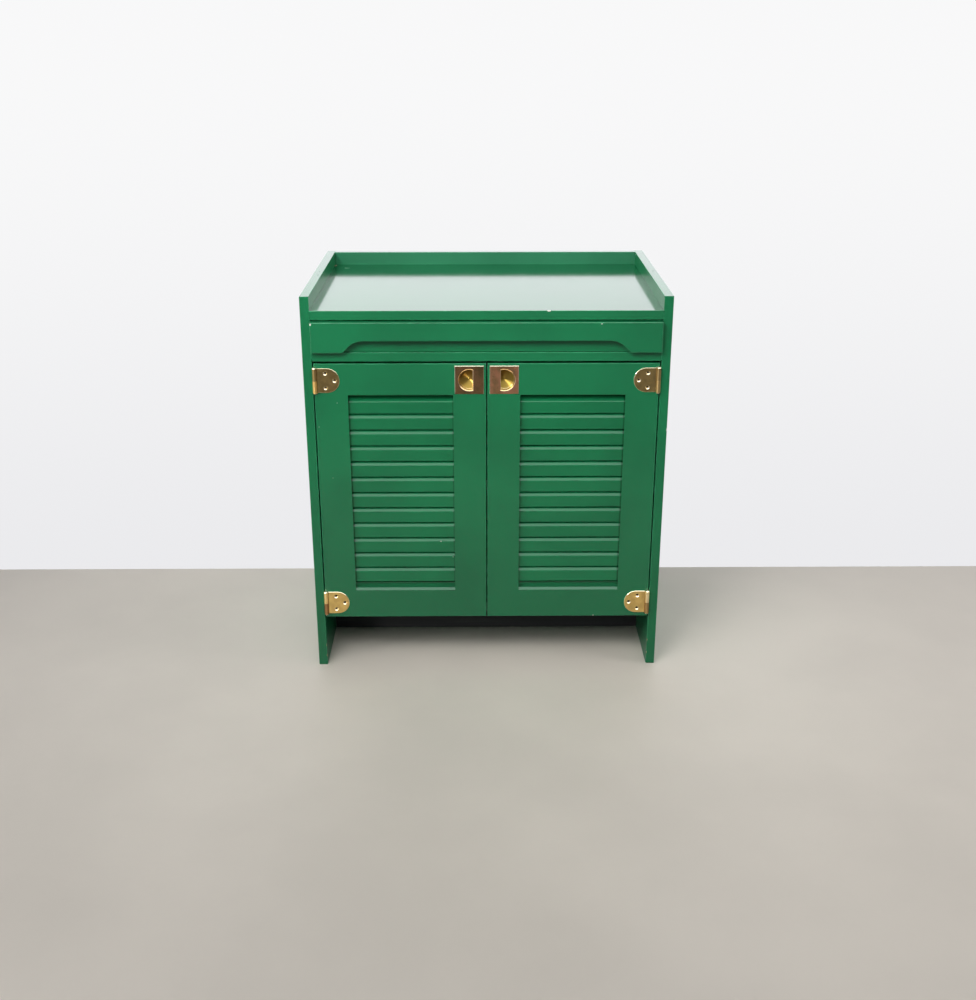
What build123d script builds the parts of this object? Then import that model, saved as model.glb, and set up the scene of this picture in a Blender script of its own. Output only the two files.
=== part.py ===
from build123d import *
import os
from math import cos, radians, sin, tan

# Floor-standing campaign cabinet: a tray top, one shallow drawer and two louvred doors.
# Millimetres. X runs left to right, Y from the front to the back, Z up. The origin is
# the bottom centre of the closed cabinet's bounding box, so the floor is Z = 0.

# Overall sizes of the carcass.
WIDTH = 750.0
DEPTH = 514.0
HEIGHT = 832.0
BOARD = 19.0
EDGE_ROUND = 1.2
FOOT_ROUND = 3.0

# Tray top and gallery.
GALLERY_HEIGHT = 29.0

# Drawer opening and the boards below it.
DRAWER_SPACE = 66.5
DOOR_BOTTOM = 120.0
BOTTOM_PANEL_LIFT = 2.0
BOTTOM_PANEL_SETBACK = 2.0
PLINTH_SETBACK = 178.0
PLINTH_LIFT = 2.0

# Back panel.
BACK_THICK = 6.0
REBATE = 8.0
REBATE_CLEARANCE = 0.2

# Shelf on four pins.
SHELF_UNDERSIDE = 405.0
SHELF_SETBACK = 45.0
SHELF_END_CLEARANCE = 1.0
SHELF_BACK_CLEARANCE = 2.0
SHELF_SEAT = 0.05
PIN_RADIUS = 2.5
PIN_IN_SIDE = 9.0
PIN_OUT = 11.0
PIN_INSET = 60.0

# Dowels of the carcass and of the door frames.
DOWEL_RADIUS = 4.0
DOWEL_IN_SIDE = 12.0
DOWEL_IN_END = 20.0
DOWEL_INSET = 50.0
DOWEL_FIT = 0.05
GALLERY_DOWEL_IN = 11.0
PLINTH_DOWEL_INSET = 30.0
FRAME_DOWEL_RADIUS = 3.0
FRAME_DOWEL_IN = 18.0
FRAME_DOWEL_SPACING = 36.0
FRAME_DOWEL_DEPTH = 17.5

# Drawer.
DRAWER_PROUD = 15.0
DRAWER_FRONT_THICK = 19.0
DRAWER_FRONT_ROUND = 1.5
DRAWER_TOP_GAP = 2.0
DRAWER_BOTTOM_GAP = 2.0
DRAWER_END_GAP = 1.5
SCOOP_END_INSET = 65.0
SCOOP_HEIGHT = 24.5
SCOOP_RADIUS = 47.0
SCOOP_START_DEG = 47.0
DRAWER_BACK_SPACE = 54.0
BOX_HEIGHT = 58.0
BOX_LIFT = 0.6
BOX_SIDE_CLEARANCE = 1.0
BOX_SIDE_THICK = 14.0
BOX_END_THICK = 12.0
BOX_BOTTOM_THICK = 6.0
BOX_BOTTOM_LIFT = 6.0
BOX_GROOVE = 6.0
BOX_GROOVE_CLEARANCE = 0.1

# Wooden runners that the drawer sides hang on.
RUNNER_THICK = 8.0
RUNNER_HEIGHT = 14.0
RUNNER_FRONT_SETBACK = 20.0
RUNNER_BACK_SETBACK = 33.0
RUNNER_LIFT = 23.5
RUNNER_CLEARANCE = 0.3
RUNNER_END_CLEARANCE = 0.5
RUNNER_SCREW_INSET = 40.0
STOP_WIDTH = 30.0
STOP_DEPTH = 20.0
STOP_HEIGHT = 18.0
STOP_INSET = 141.0
STOP_GAP = 0.3

# Doors.
DOOR_THICK = 22.0
DOOR_TOP_GAP = 4.5
DOOR_MEETING_GAP = 2.5
STILE = 68.0
RAIL = 67.0
SILL_RAIL = 68.5
DOOR_ROUND = 1.0

# Fixed slats of the doors.
SLAT_COUNT = 12
SLAT_RECESS = 9.0
SLAT_DEPTH = 10.0
SLAT_RISE_DEG = 50.0
SLAT_GAP = 8.4
SLAT_MARGIN_LOW = 10.8
SLAT_MARGIN_HIGH = 17.5
SLAT_NOSE = 5.0
SLAT_HOUSING = 4.0
SLAT_CLEARANCE = 0.1
LIP_DEPTH = 6.0
LIP_HEIGHT = 8.0
SILL_BEVEL = 4.5

# Brass butt hinges: a D-shaped leaf on the door's face, a straight one on the side panel.
HINGE_HEIGHT = 52.0
HINGE_LEAF = 2.0
HINGE_INSET = 35.0
HINGE_GAP = 0.3
BARREL_RADIUS = 4.5
HINGE_PIN_RADIUS = 2.0
HINGE_PIN_CLEARANCE = 0.05
LEAF_STRAIGHT = 24.5
DOOR_LEAF_SCREW_NEAR = 21.5
DOOR_LEAF_SCREW_FAR = 40.2
DOOR_LEAF_SCREW_SPREAD = 15.3
FRAME_LEAF_SCREW_REACH = 14.5
FRAME_LEAF_SCREW_SPREAD = 17.0
LEAF_SCREW_SINK = 0.6
LEAF_ROUND = 1.2

# Square flush pulls.
PULL_SIZE = 60.0
PULL_THICK = 2.0
PULL_INSET = 34.5
PULL_DISH_RADIUS = 24.0
PULL_LIP = 9.0
PULL_BEVEL = 1.0
CUP_WALL = 1.0
CUP_DEPTH = 10.5
CUP_RIM_DEPTH = 8.0
CUP_FIT = 0.1

# Magnetic catches and their strike plates.
CATCH_AT = 22.0
CATCH_WIDTH = 34.0
CATCH_DEPTH = 14.0
CATCH_HEIGHT = 11.0
CATCH_GAP = 0.3
CATCH_SCREW_SPACING = 22.0
STRIKE_WIDTH = 24.0
STRIKE_HEIGHT = 12.0
STRIKE_THICK = 1.5
STRIKE_DROP = 2.0

# Countersunk wood screws.
SCREW_RADIUS = 1.75
SCREW_HEAD_RADIUS = 3.6
SCREW_HEAD_HEIGHT = 1.8
SCREW_SLOT = 0.9
SCREW_SLOT_DEPTH = 0.7
SCREW_FIT = 0.05
LEAF_SCREW_LENGTH = 16.0
RUNNER_SCREW_LENGTH = 20.0
FRONT_SCREW_LENGTH = 25.0
CATCH_SCREW_LENGTH = 22.0
STRIKE_SCREW_LENGTH = 9.0
BACK_SCREW_LENGTH = 22.0
FRONT_SCREW_INSET = 21.0
FRONT_SCREW_INNER = 120.0
FRONT_SCREW_DROP = 16.0

# Places worked out from the sizes above.
INNER = WIDTH / 2 - BOARD
FRONT = (DRAWER_PROUD - DEPTH) / 2
BACK = FRONT + DEPTH
BACK_FACE = BACK - BACK_THICK
TRAY_Z = HEIGHT - GALLERY_HEIGHT
TOP_UNDERSIDE = TRAY_Z - BOARD
DIVIDER_TOP = TOP_UNDERSIDE - DRAWER_SPACE
DIVIDER_UNDERSIDE = DIVIDER_TOP - BOARD
BOTTOM_UNDERSIDE = DOOR_BOTTOM + BOTTOM_PANEL_LIFT
BOTTOM_TOP = BOTTOM_UNDERSIDE + BOARD
PLINTH_FRONT = FRONT + PLINTH_SETBACK

DOOR_TOP = DIVIDER_UNDERSIDE - DOOR_TOP_GAP
DOOR_BACK = FRONT + DOOR_THICK
DOOR_OUTER = INNER - HINGE_LEAF - HINGE_GAP
DOOR_INNER = DOOR_MEETING_GAP / 2
OPENING_LOW = DOOR_BOTTOM + SILL_RAIL
OPENING_HIGH = DOOR_TOP - RAIL
OPENING_OUTER = DOOR_OUTER - STILE
OPENING_INNER = DOOR_INNER + STILE

SLAT_TOTAL = OPENING_HIGH - OPENING_LOW - SLAT_MARGIN_LOW - SLAT_MARGIN_HIGH
SLAT_FACE = (SLAT_TOTAL - (SLAT_COUNT - 1) * SLAT_GAP) / SLAT_COUNT
SLAT_PITCH = SLAT_FACE + SLAT_GAP
SLAT_FRONT = FRONT + SLAT_RECESS
SLAT_RISE = SLAT_DEPTH * tan(radians(SLAT_RISE_DEG))

BARREL_X = INNER - BARREL_RADIUS
BARREL_Y = FRONT - BARREL_RADIUS
HINGE_HEIGHTS = {"upper": DOOR_TOP - HINGE_INSET, "lower": DOOR_BOTTOM + HINGE_INSET}
LEAF_SCREWS = {
    "door": (DOOR_LEAF_SCREW_NEAR, DOOR_LEAF_SCREW_FAR, DOOR_LEAF_SCREW_SPREAD),
    "frame": (FRAME_LEAF_SCREW_REACH, FRAME_LEAF_SCREW_REACH, FRAME_LEAF_SCREW_SPREAD),
}

PULL_X = DOOR_INNER + PULL_INSET
PULL_Z = DOOR_TOP - PULL_INSET
POCKET_RADIUS = PULL_DISH_RADIUS + CUP_WALL + CUP_FIT
POCKET_DEPTH = CUP_DEPTH + CUP_WALL + CUP_FIT

BOX_FRONT = FRONT - DRAWER_PROUD + DRAWER_FRONT_THICK
BOX_BACK = BACK_FACE - DRAWER_BACK_SPACE
BOX_LOW = DIVIDER_TOP + BOX_LIFT
BOX_HIGH = BOX_LOW + BOX_HEIGHT
BOX_OUTER = INNER - BOX_SIDE_CLEARANCE
BOX_INNER = BOX_OUTER - BOX_SIDE_THICK
BOX_FLOOR = BOX_LOW + BOX_BOTTOM_LIFT
FRONT_SCREW_OUTER = BOX_INNER - FRONT_SCREW_INSET
STOP_AT = BOX_INNER - STOP_INSET
SCOOP_HALF_WIDTH = INNER - SCOOP_END_INSET
RUNNER_LOW = DIVIDER_TOP + RUNNER_LIFT
RUNNER_HIGH = RUNNER_LOW + RUNNER_HEIGHT
RUNNER_FRONT = FRONT + RUNNER_FRONT_SETBACK
RUNNER_BACK = BACK_FACE - RUNNER_BACK_SETBACK
RUNNER_INNER = INNER - RUNNER_THICK

SIDES = {"left": -1, "right": 1}
TOP_OUT = (Align.CENTER, Align.CENTER, Align.MAX)
FOOT_OUT = (Align.CENTER, Align.CENTER, Align.MIN)


def block(low, high, mode=Mode.ADD):
    """A box between two opposite corners, in the part being built."""
    size = [b - a for a, b in zip(low, high)]
    centre = [(a + b) / 2 for a, b in zip(low, high)]
    with Locations(tuple(centre)):
        Box(*size, mode=mode)


def rod(centre, direction, radius, length, mode=Mode.ADD):
    """A cylinder along a direction, centred on a point, in the part being built."""
    with Locations(Plane(origin=centre, z_dir=direction)):
        Cylinder(radius, length, mode=mode)


def mirrored(side, low_x, high_x):
    """The span low_x to high_x of the right half, or the same span of the left half."""
    return tuple(sorted((side * low_x, side * high_x)))


def screws(planes, length):
    """Countersunk slotted screws whose heads lie in the planes' faces."""
    with Locations(*planes):
        Cone(SCREW_RADIUS, SCREW_HEAD_RADIUS, SCREW_HEAD_HEIGHT, align=TOP_OUT)
        Cylinder(SCREW_RADIUS, length, align=TOP_OUT)
        Box(2 * SCREW_HEAD_RADIUS, SCREW_SLOT, SCREW_SLOT_DEPTH, align=TOP_OUT, mode=Mode.SUBTRACT)


def screw_holes(planes, length):
    """The holes that such screws sit in, cut a fit larger all round."""
    shank = SCREW_RADIUS + SCREW_FIT
    head = SCREW_HEAD_RADIUS + SCREW_FIT
    with Locations(*planes):
        Cone(shank, head, SCREW_HEAD_HEIGHT, align=TOP_OUT, mode=Mode.SUBTRACT)
        Cylinder(shank, length + SCREW_FIT, align=TOP_OUT, mode=Mode.SUBTRACT)


def save(piece, name):
    """Labels a finished piece and writes it."""
    piece.part.label = name
    export_step(piece.part, f"parts/{name}.step")


# ---------------------------------------------------------------- shared patterns


def carcass_dowel_points():
    """Where the dowels cross the side panels' inner faces, in the right half: (y, z)."""
    boards = (TOP_UNDERSIDE, DIVIDER_UNDERSIDE, BOTTOM_UNDERSIDE)
    rows = {low: (FRONT + DOWEL_INSET, (FRONT + BACK_FACE) / 2, BACK_FACE - DOWEL_INSET) for low in boards}
    points = [(y, low + BOARD / 2) for low, places in rows.items() for y in places]
    plinth_y = PLINTH_FRONT + BOARD / 2
    low_z = PLINTH_LIFT + PLINTH_DOWEL_INSET
    high_z = BOTTOM_UNDERSIDE - PLINTH_DOWEL_INSET
    return points + [(plinth_y, low_z), (plinth_y, high_z)]


def gallery_dowel_points():
    """Where the dowels cross the joint between the tray top's back edge and the gallery rail."""
    z = TOP_UNDERSIDE + BOARD / 2
    return [(x, BACK - BOARD, z) for x in (DOWEL_INSET - INNER, 0, INNER - DOWEL_INSET)]


def shelf_pin_points():
    """Where the shelf pins leave the side panels, in the right half: (y, z)."""
    z = SHELF_UNDERSIDE - PIN_RADIUS - SHELF_SEAT
    shelf_front = FRONT + SHELF_SETBACK
    return [(shelf_front + PIN_INSET, z), (BACK_FACE - PIN_INSET, z)]


def leaf_plane(kind, side, height):
    """The seat of a hinge leaf: origin at the barrel, x along the leaf, z out of the wood."""
    if kind == "door":
        return Plane(origin=(side * BARREL_X, FRONT, height), x_dir=(-side, 0, 0), z_dir=(0, -1, 0))
    return Plane(origin=(side * INNER, BARREL_Y, height), x_dir=(0, 1, 0), z_dir=(-side, 0, 0))


def leaf_screw_planes(kind, side, height):
    """Planes at the three screw heads of a hinge leaf, sunk a little below its face."""
    heads = leaf_plane(kind, side, height).offset(HINGE_LEAF - LEAF_SCREW_SINK)
    near, far, spread = LEAF_SCREWS[kind]
    places = ((near, spread), (near, -spread), (far, 0))
    return [Plane(origin=heads.from_local_coords((u, v, 0)), z_dir=heads.z_dir) for u, v in places]


def runner_screw_planes(side):
    """Planes at the screw heads of one drawer runner."""
    z = (RUNNER_LOW + RUNNER_HIGH) / 2
    ends = (RUNNER_FRONT + RUNNER_SCREW_INSET, RUNNER_BACK - RUNNER_SCREW_INSET)
    places = (ends[0], sum(ends) / 2, ends[1])
    return [Plane(origin=(side * RUNNER_INNER, y, z), z_dir=(-side, 0, 0)) for y in places]


def drawer_front_screw_planes():
    """Planes at the heads of the screws that hold the drawer front, inside the box."""
    y = BOX_FRONT + BOX_END_THICK
    z = BOX_HIGH - FRONT_SCREW_DROP
    places = [side * x for side in SIDES.values() for x in (FRONT_SCREW_INNER, FRONT_SCREW_OUTER)]
    return [Plane(origin=(x, y, z), z_dir=(0, 1, 0)) for x in places]


def catch_screw_planes():
    """Planes at the screw heads under the two magnetic catches."""
    y = DOOR_BACK + STRIKE_THICK + CATCH_GAP + CATCH_DEPTH / 2
    z = DIVIDER_UNDERSIDE - CATCH_HEIGHT
    spread = CATCH_SCREW_SPACING / 2
    places = [side * CATCH_AT + step for side in SIDES.values() for step in (-spread, spread)]
    return [Plane(origin=(x, y, z), z_dir=(0, 0, -1)) for x in places]


def strike_screw_plane(side):
    """The plane at the head of a strike plate's screw, on the door's back."""
    z = DOOR_TOP - STRIKE_DROP - STRIKE_HEIGHT / 2
    return Plane(origin=(side * CATCH_AT, DOOR_BACK + STRIKE_THICK, z), z_dir=(0, 1, 0))


def back_screw_planes():
    """Planes at the screw heads on the back panel: into the sides' rebates and two boards."""
    edge_x = INNER + REBATE / 2
    levels = (BOTTOM_UNDERSIDE + BOARD / 2, DIVIDER_UNDERSIDE + BOARD / 2)
    middle = sum(levels) / 2
    board_x = INNER - 2 * DOWEL_INSET
    places = [(x, z) for z in levels for x in (-board_x, 0, board_x)]
    places += [(side * edge_x, z) for side in SIDES.values() for z in (*levels, middle)]
    return [Plane(origin=(x, BACK, z), z_dir=(0, 1, 0)) for x, z in places]


def frame_dowel_centres(side):
    """Centres of the dowels between the rails and stiles of one door."""
    y = FRONT + FRAME_DOWEL_DEPTH
    rails = (DOOR_BOTTOM + SILL_RAIL / 2, DOOR_TOP - RAIL / 2)
    steps = (-FRAME_DOWEL_SPACING / 2, FRAME_DOWEL_SPACING / 2)
    joints = (OPENING_INNER, OPENING_OUTER)
    return [(side * x, y, z + step) for x in joints for z in rails for step in steps]


# ---------------------------------------------------------------- carcass


def side_panel(side):
    """A full-height side, with a rebate for the back and holes for what it carries."""
    low_x, high_x = mirrored(side, INNER, WIDTH / 2)
    with BuildPart() as panel:
        block((low_x, FRONT, 0), (high_x, BACK, HEIGHT))
        corners = panel.edges().filter_by(Axis.X)
        fillet(corners.group_by(Axis.Z)[0], FOOT_ROUND)
        loops = panel.faces().filter_by(Axis.X).edges()
        fillet(loops, EDGE_ROUND)
        rebate_x = mirrored(side, INNER, INNER + REBATE)
        block(
            (rebate_x[0], BACK_FACE, 0),
            (rebate_x[1], BACK, TOP_UNDERSIDE),
            mode=Mode.SUBTRACT,
        )
        for y, z in carcass_dowel_points():
            hole = DOWEL_RADIUS + DOWEL_FIT
            depth = DOWEL_IN_SIDE + DOWEL_FIT
            rod((side * (INNER + depth / 2), y, z), (1, 0, 0), hole, depth, mode=Mode.SUBTRACT)
        for y, z in shelf_pin_points():
            hole = PIN_RADIUS + DOWEL_FIT
            depth = PIN_IN_SIDE + DOWEL_FIT
            rod((side * (INNER + depth / 2), y, z), (1, 0, 0), hole, depth, mode=Mode.SUBTRACT)
        for height in HINGE_HEIGHTS.values():
            screw_holes(leaf_screw_planes("frame", side, height), LEAF_SCREW_LENGTH)
        screw_holes(runner_screw_planes(side), RUNNER_SCREW_LENGTH)
        screw_holes(back_screw_planes(), BACK_SCREW_LENGTH)
    return panel


def drill_board_ends(low_z, high_z):
    """Cuts the dowel holes between two heights into both ends of a board between the sides."""
    hole = DOWEL_RADIUS + DOWEL_FIT
    depth = DOWEL_IN_END + DOWEL_FIT
    for side in SIDES.values():
        for y, z in carcass_dowel_points():
            if low_z < z < high_z:
                rod((side * (INNER - depth / 2), y, z), (1, 0, 0), hole, depth, mode=Mode.SUBTRACT)


def bottom_panel():
    """The cupboard's floor, behind the doors."""
    with BuildPart() as board:
        block((-INNER, DOOR_BACK + BOTTOM_PANEL_SETBACK, BOTTOM_UNDERSIDE), (INNER, BACK_FACE, BOTTOM_TOP))
        fillet(board.edges().filter_by(Axis.X).group_by(Axis.Y)[0], EDGE_ROUND)
        drill_board_ends(BOTTOM_UNDERSIDE, BOTTOM_TOP)
        screw_holes(back_screw_planes(), BACK_SCREW_LENGTH)
    return board


def top_panel():
    """The tray top, with the gallery rail's dowel holes in its back edge."""
    with BuildPart() as board:
        block((-INNER, FRONT, TOP_UNDERSIDE), (INNER, BACK - BOARD, TRAY_Z))
        fillet(board.edges().filter_by(Axis.X).group_by(Axis.Y)[0], EDGE_ROUND)
        drill_board_ends(TOP_UNDERSIDE, TRAY_Z)
        depth = GALLERY_DOWEL_IN + DOWEL_FIT
        for x, y, z in gallery_dowel_points():
            rod((x, y - depth / 2, z), (0, 1, 0), DOWEL_RADIUS + DOWEL_FIT, depth, mode=Mode.SUBTRACT)
    return board


def gallery_rail():
    """The rail along the tray's back edge, which stands up past it."""
    with BuildPart() as rail:
        block((-INNER, BACK - BOARD, TOP_UNDERSIDE), (INNER, BACK, HEIGHT))
        fillet(rail.edges().filter_by(Axis.X).group_by(Axis.Z)[-1], EDGE_ROUND)
        depth = GALLERY_DOWEL_IN + DOWEL_FIT
        for x, y, z in gallery_dowel_points():
            rod((x, y + depth / 2, z), (0, 1, 0), DOWEL_RADIUS + DOWEL_FIT, depth, mode=Mode.SUBTRACT)
    return rail


def divider_panel():
    """The board between drawer and cupboard, drilled for the catches."""
    with BuildPart() as board:
        block((-INNER, FRONT, DIVIDER_UNDERSIDE), (INNER, BACK_FACE, DIVIDER_TOP))
        fillet(board.edges().filter_by(Axis.X).group_by(Axis.Y)[0], EDGE_ROUND)
        drill_board_ends(DIVIDER_UNDERSIDE, DIVIDER_TOP)
        screw_holes(back_screw_planes(), BACK_SCREW_LENGTH)
        screw_holes(catch_screw_planes(), CATCH_SCREW_LENGTH)
    return board


def back_panel():
    """The thin back, let into the sides' rebates."""
    half = INNER + REBATE - REBATE_CLEARANCE
    with BuildPart() as panel:
        block((-half, BACK_FACE, BOTTOM_UNDERSIDE), (half, BACK, TOP_UNDERSIDE - REBATE_CLEARANCE))
        screw_holes(back_screw_planes(), BACK_SCREW_LENGTH)
    return panel


def plinth_board():
    """The set-back kick board under the cupboard floor."""
    with BuildPart() as board:
        block((-INNER, PLINTH_FRONT, PLINTH_LIFT), (INNER, PLINTH_FRONT + BOARD, BOTTOM_UNDERSIDE))
        drill_board_ends(PLINTH_LIFT, BOTTOM_UNDERSIDE)
    return board


def cupboard_shelf():
    """The loose shelf inside the cupboard."""
    half = INNER - SHELF_END_CLEARANCE
    with BuildPart() as shelf:
        block(
            (-half, FRONT + SHELF_SETBACK, SHELF_UNDERSIDE),
            (half, BACK_FACE - SHELF_BACK_CLEARANCE, SHELF_UNDERSIDE + BOARD),
        )
        fillet(shelf.edges().filter_by(Axis.X).group_by(Axis.Y)[0], EDGE_ROUND)
    return shelf


def shelf_pins():
    """Four pins that the shelf lies on."""
    with BuildPart() as pins:
        for side in SIDES.values():
            for y, z in shelf_pin_points():
                middle = INNER + (PIN_IN_SIDE - PIN_OUT) / 2
                rod((side * middle, y, z), (1, 0, 0), PIN_RADIUS, PIN_IN_SIDE + PIN_OUT)
    return pins


def carcass_dowels():
    """All dowels between the sides, the cross boards, the plinth and the gallery rail."""
    with BuildPart() as dowels:
        for side in SIDES.values():
            for y, z in carcass_dowel_points():
                middle = INNER + (DOWEL_IN_SIDE - DOWEL_IN_END) / 2
                rod((side * middle, y, z), (1, 0, 0), DOWEL_RADIUS, DOWEL_IN_SIDE + DOWEL_IN_END)
        for point in gallery_dowel_points():
            rod(point, (0, 1, 0), DOWEL_RADIUS, 2 * GALLERY_DOWEL_IN)
    return dowels


def drawer_runner(side):
    """A wooden batten on a side panel, which a grooved drawer side hangs on."""
    low_x, high_x = mirrored(side, RUNNER_INNER, INNER)
    with BuildPart() as runner:
        block((low_x, RUNNER_FRONT, RUNNER_LOW), (high_x, RUNNER_BACK, RUNNER_HIGH))
        screw_holes(runner_screw_planes(side), RUNNER_SCREW_LENGTH)
    return runner


def drawer_stops():
    """Two blocks on the divider that the closed drawer's back meets."""
    front = BOX_BACK + STOP_GAP
    with BuildPart() as stops:
        for side in SIDES.values():
            low_x, high_x = mirrored(side, STOP_AT - STOP_WIDTH / 2, STOP_AT + STOP_WIDTH / 2)
            block((low_x, front, DIVIDER_TOP), (high_x, front + STOP_DEPTH, DIVIDER_TOP + STOP_HEIGHT))
    return stops


def magnetic_catches():
    """Two catches under the divider, one behind each door's free edge."""
    front = DOOR_BACK + STRIKE_THICK + CATCH_GAP
    with BuildPart() as catches:
        for side in SIDES.values():
            low_x, high_x = mirrored(side, CATCH_AT - CATCH_WIDTH / 2, CATCH_AT + CATCH_WIDTH / 2)
            block(
                (low_x, front, DIVIDER_UNDERSIDE - CATCH_HEIGHT),
                (high_x, front + CATCH_DEPTH, DIVIDER_UNDERSIDE),
            )
        screw_holes(catch_screw_planes(), CATCH_SCREW_LENGTH)
    return catches


def screw_group(planes, length):
    """A node of equal screws."""
    with BuildPart() as group:
        screws(planes, length)
    return group


# ---------------------------------------------------------------- hinges


def knuckle_span(kind, level):
    """The lowest and highest Z of one leaf's knuckle at the upper or lower hinge."""
    centre = HINGE_HEIGHTS[level]
    door_is_high = level == "upper"
    low = centre - HINGE_HEIGHT / 2
    high = centre + HINGE_HEIGHT / 2
    if (kind == "door") == door_is_high:
        return centre + HINGE_GAP / 2, high
    return low, centre - HINGE_GAP / 2


def hinge_leaf(kind, side, level):
    """A leaf with three countersunk holes and its half of the barrel; a door's leaf has a round end."""
    seat = leaf_plane(kind, side, HINGE_HEIGHTS[level])
    start = BARREL_RADIUS + HINGE_GAP
    half = HINGE_HEIGHT / 2
    low, high = knuckle_span(kind, level)
    middle = (low + high) / 2
    with BuildPart() as leaf:
        with BuildSketch(seat):
            with BuildLine():
                Polyline((LEAF_STRAIGHT, -half), (start, -half), (start, half), (LEAF_STRAIGHT, half))
                if kind == "door":
                    ThreePointArc((LEAF_STRAIGHT, half), (LEAF_STRAIGHT + half, 0), (LEAF_STRAIGHT, -half))
                else:
                    Line((LEAF_STRAIGHT, half), (LEAF_STRAIGHT, -half))
            make_face()
        extrude(amount=HINGE_LEAF)
        if kind == "door":
            face_edges = leaf.faces().sort_by(Axis.Y)[0].edges()
            fillet(face_edges - face_edges.filter_by(Axis.Z), LEAF_ROUND)
        web = [
            seat.from_local_coords((0, 0, 0)),
            seat.from_local_coords((start, 0, HINGE_LEAF)),
        ]
        web_x = sorted(point.X for point in web)
        web_y = sorted(point.Y for point in web)
        block((web_x[0], web_y[0], low), (web_x[1], web_y[1], high))
        rod((side * BARREL_X, BARREL_Y, middle), (0, 0, 1), BARREL_RADIUS, high - low)
        bore = HINGE_PIN_RADIUS + HINGE_PIN_CLEARANCE
        rod((side * BARREL_X, BARREL_Y, middle), (0, 0, 1), bore, high - low, mode=Mode.SUBTRACT)
        heads = leaf_screw_planes(kind, side, HINGE_HEIGHTS[level])
        screw_holes(heads, LEAF_SCREW_LENGTH)
        rim = SCREW_HEAD_RADIUS + SCREW_FIT
        with Locations(*heads):
            Cone(rim, rim + LEAF_SCREW_SINK, LEAF_SCREW_SINK, align=FOOT_OUT, mode=Mode.SUBTRACT)
    return leaf


def hinge_pin(side, level):
    """The pin through both knuckles of a hinge."""
    with BuildPart() as pin:
        centre = (side * BARREL_X, BARREL_Y, HINGE_HEIGHTS[level])
        rod(centre, (0, 0, 1), HINGE_PIN_RADIUS, HINGE_HEIGHT)
    return pin


# ---------------------------------------------------------------- drawer


def drawer_front():
    """The proud front, with the scooped lower edge that the hand pulls on."""
    half = INNER - DRAWER_END_GAP
    low = DIVIDER_TOP + DRAWER_BOTTOM_GAP
    high = TOP_UNDERSIDE - DRAWER_TOP_GAP
    scoop_top = low + SCOOP_HEIGHT
    start = radians(SCOOP_START_DEG)
    rise = SCOOP_RADIUS * (1 - cos(start))
    run = SCOOP_RADIUS * sin(start)
    ramp = (SCOOP_HEIGHT - rise) / tan(start)
    arc_start = SCOOP_HALF_WIDTH - ramp
    arc_end = arc_start - run
    mid_x = arc_end + SCOOP_RADIUS * sin(start / 2)
    mid_z = scoop_top - SCOOP_RADIUS * (1 - cos(start / 2))
    with BuildPart() as front:
        with BuildSketch(Plane.XZ.offset(DRAWER_PROUD - FRONT)):
            with BuildLine():
                Polyline(
                    (SCOOP_HALF_WIDTH, low),
                    (half, low),
                    (half, high),
                    (-half, high),
                    (-half, low),
                    (-SCOOP_HALF_WIDTH, low),
                    (-arc_start, scoop_top - rise),
                )
                ThreePointArc((-arc_start, scoop_top - rise), (-mid_x, mid_z), (-arc_end, scoop_top))
                Line((-arc_end, scoop_top), (arc_end, scoop_top))
                ThreePointArc((arc_end, scoop_top), (mid_x, mid_z), (arc_start, scoop_top - rise))
                Line((arc_start, scoop_top - rise), (SCOOP_HALF_WIDTH, low))
            make_face()
        extrude(amount=-DRAWER_FRONT_THICK)
        fillet(front.faces().sort_by(Axis.Y)[0].edges(), DRAWER_FRONT_ROUND)
        screw_holes(drawer_front_screw_planes(), FRONT_SCREW_LENGTH)
    return front


def cut_bottom_groove():
    """Cuts the groove that holds the drawer's bottom into a board of the box."""
    spare = BOX_GROOVE_CLEARANCE
    reach_x = BOX_INNER + BOX_GROOVE
    front = BOX_FRONT + BOX_END_THICK - BOX_GROOVE
    back = BOX_BACK - BOX_END_THICK + BOX_GROOVE
    block(
        (-reach_x, front, BOX_FLOOR - spare),
        (reach_x, back, BOX_FLOOR + BOX_BOTTOM_THICK + spare),
        mode=Mode.SUBTRACT,
    )


def drawer_side(side):
    """A side of the drawer box, grooved outside for its runner and inside for the bottom."""
    low_x, high_x = mirrored(side, BOX_INNER, BOX_OUTER)
    groove_x = mirrored(side, RUNNER_INNER - RUNNER_END_CLEARANCE, BOX_OUTER)
    with BuildPart() as board:
        block((low_x, BOX_FRONT, BOX_LOW), (high_x, BOX_BACK, BOX_HIGH))
        block(
            (groove_x[0], BOX_FRONT, RUNNER_LOW - RUNNER_CLEARANCE),
            (groove_x[1], BOX_BACK, RUNNER_HIGH + RUNNER_CLEARANCE),
            mode=Mode.SUBTRACT,
        )
        cut_bottom_groove()
    return board


def drawer_box_front():
    """The inner front of the drawer box, behind the scoop."""
    with BuildPart() as board:
        block((-BOX_INNER, BOX_FRONT, BOX_LOW), (BOX_INNER, BOX_FRONT + BOX_END_THICK, BOX_HIGH))
        cut_bottom_groove()
        screw_holes(drawer_front_screw_planes(), FRONT_SCREW_LENGTH)
    return board


def drawer_back():
    """The back of the drawer box."""
    with BuildPart() as board:
        block((-BOX_INNER, BOX_BACK - BOX_END_THICK, BOX_LOW), (BOX_INNER, BOX_BACK, BOX_HIGH))
        cut_bottom_groove()
    return board


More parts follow.
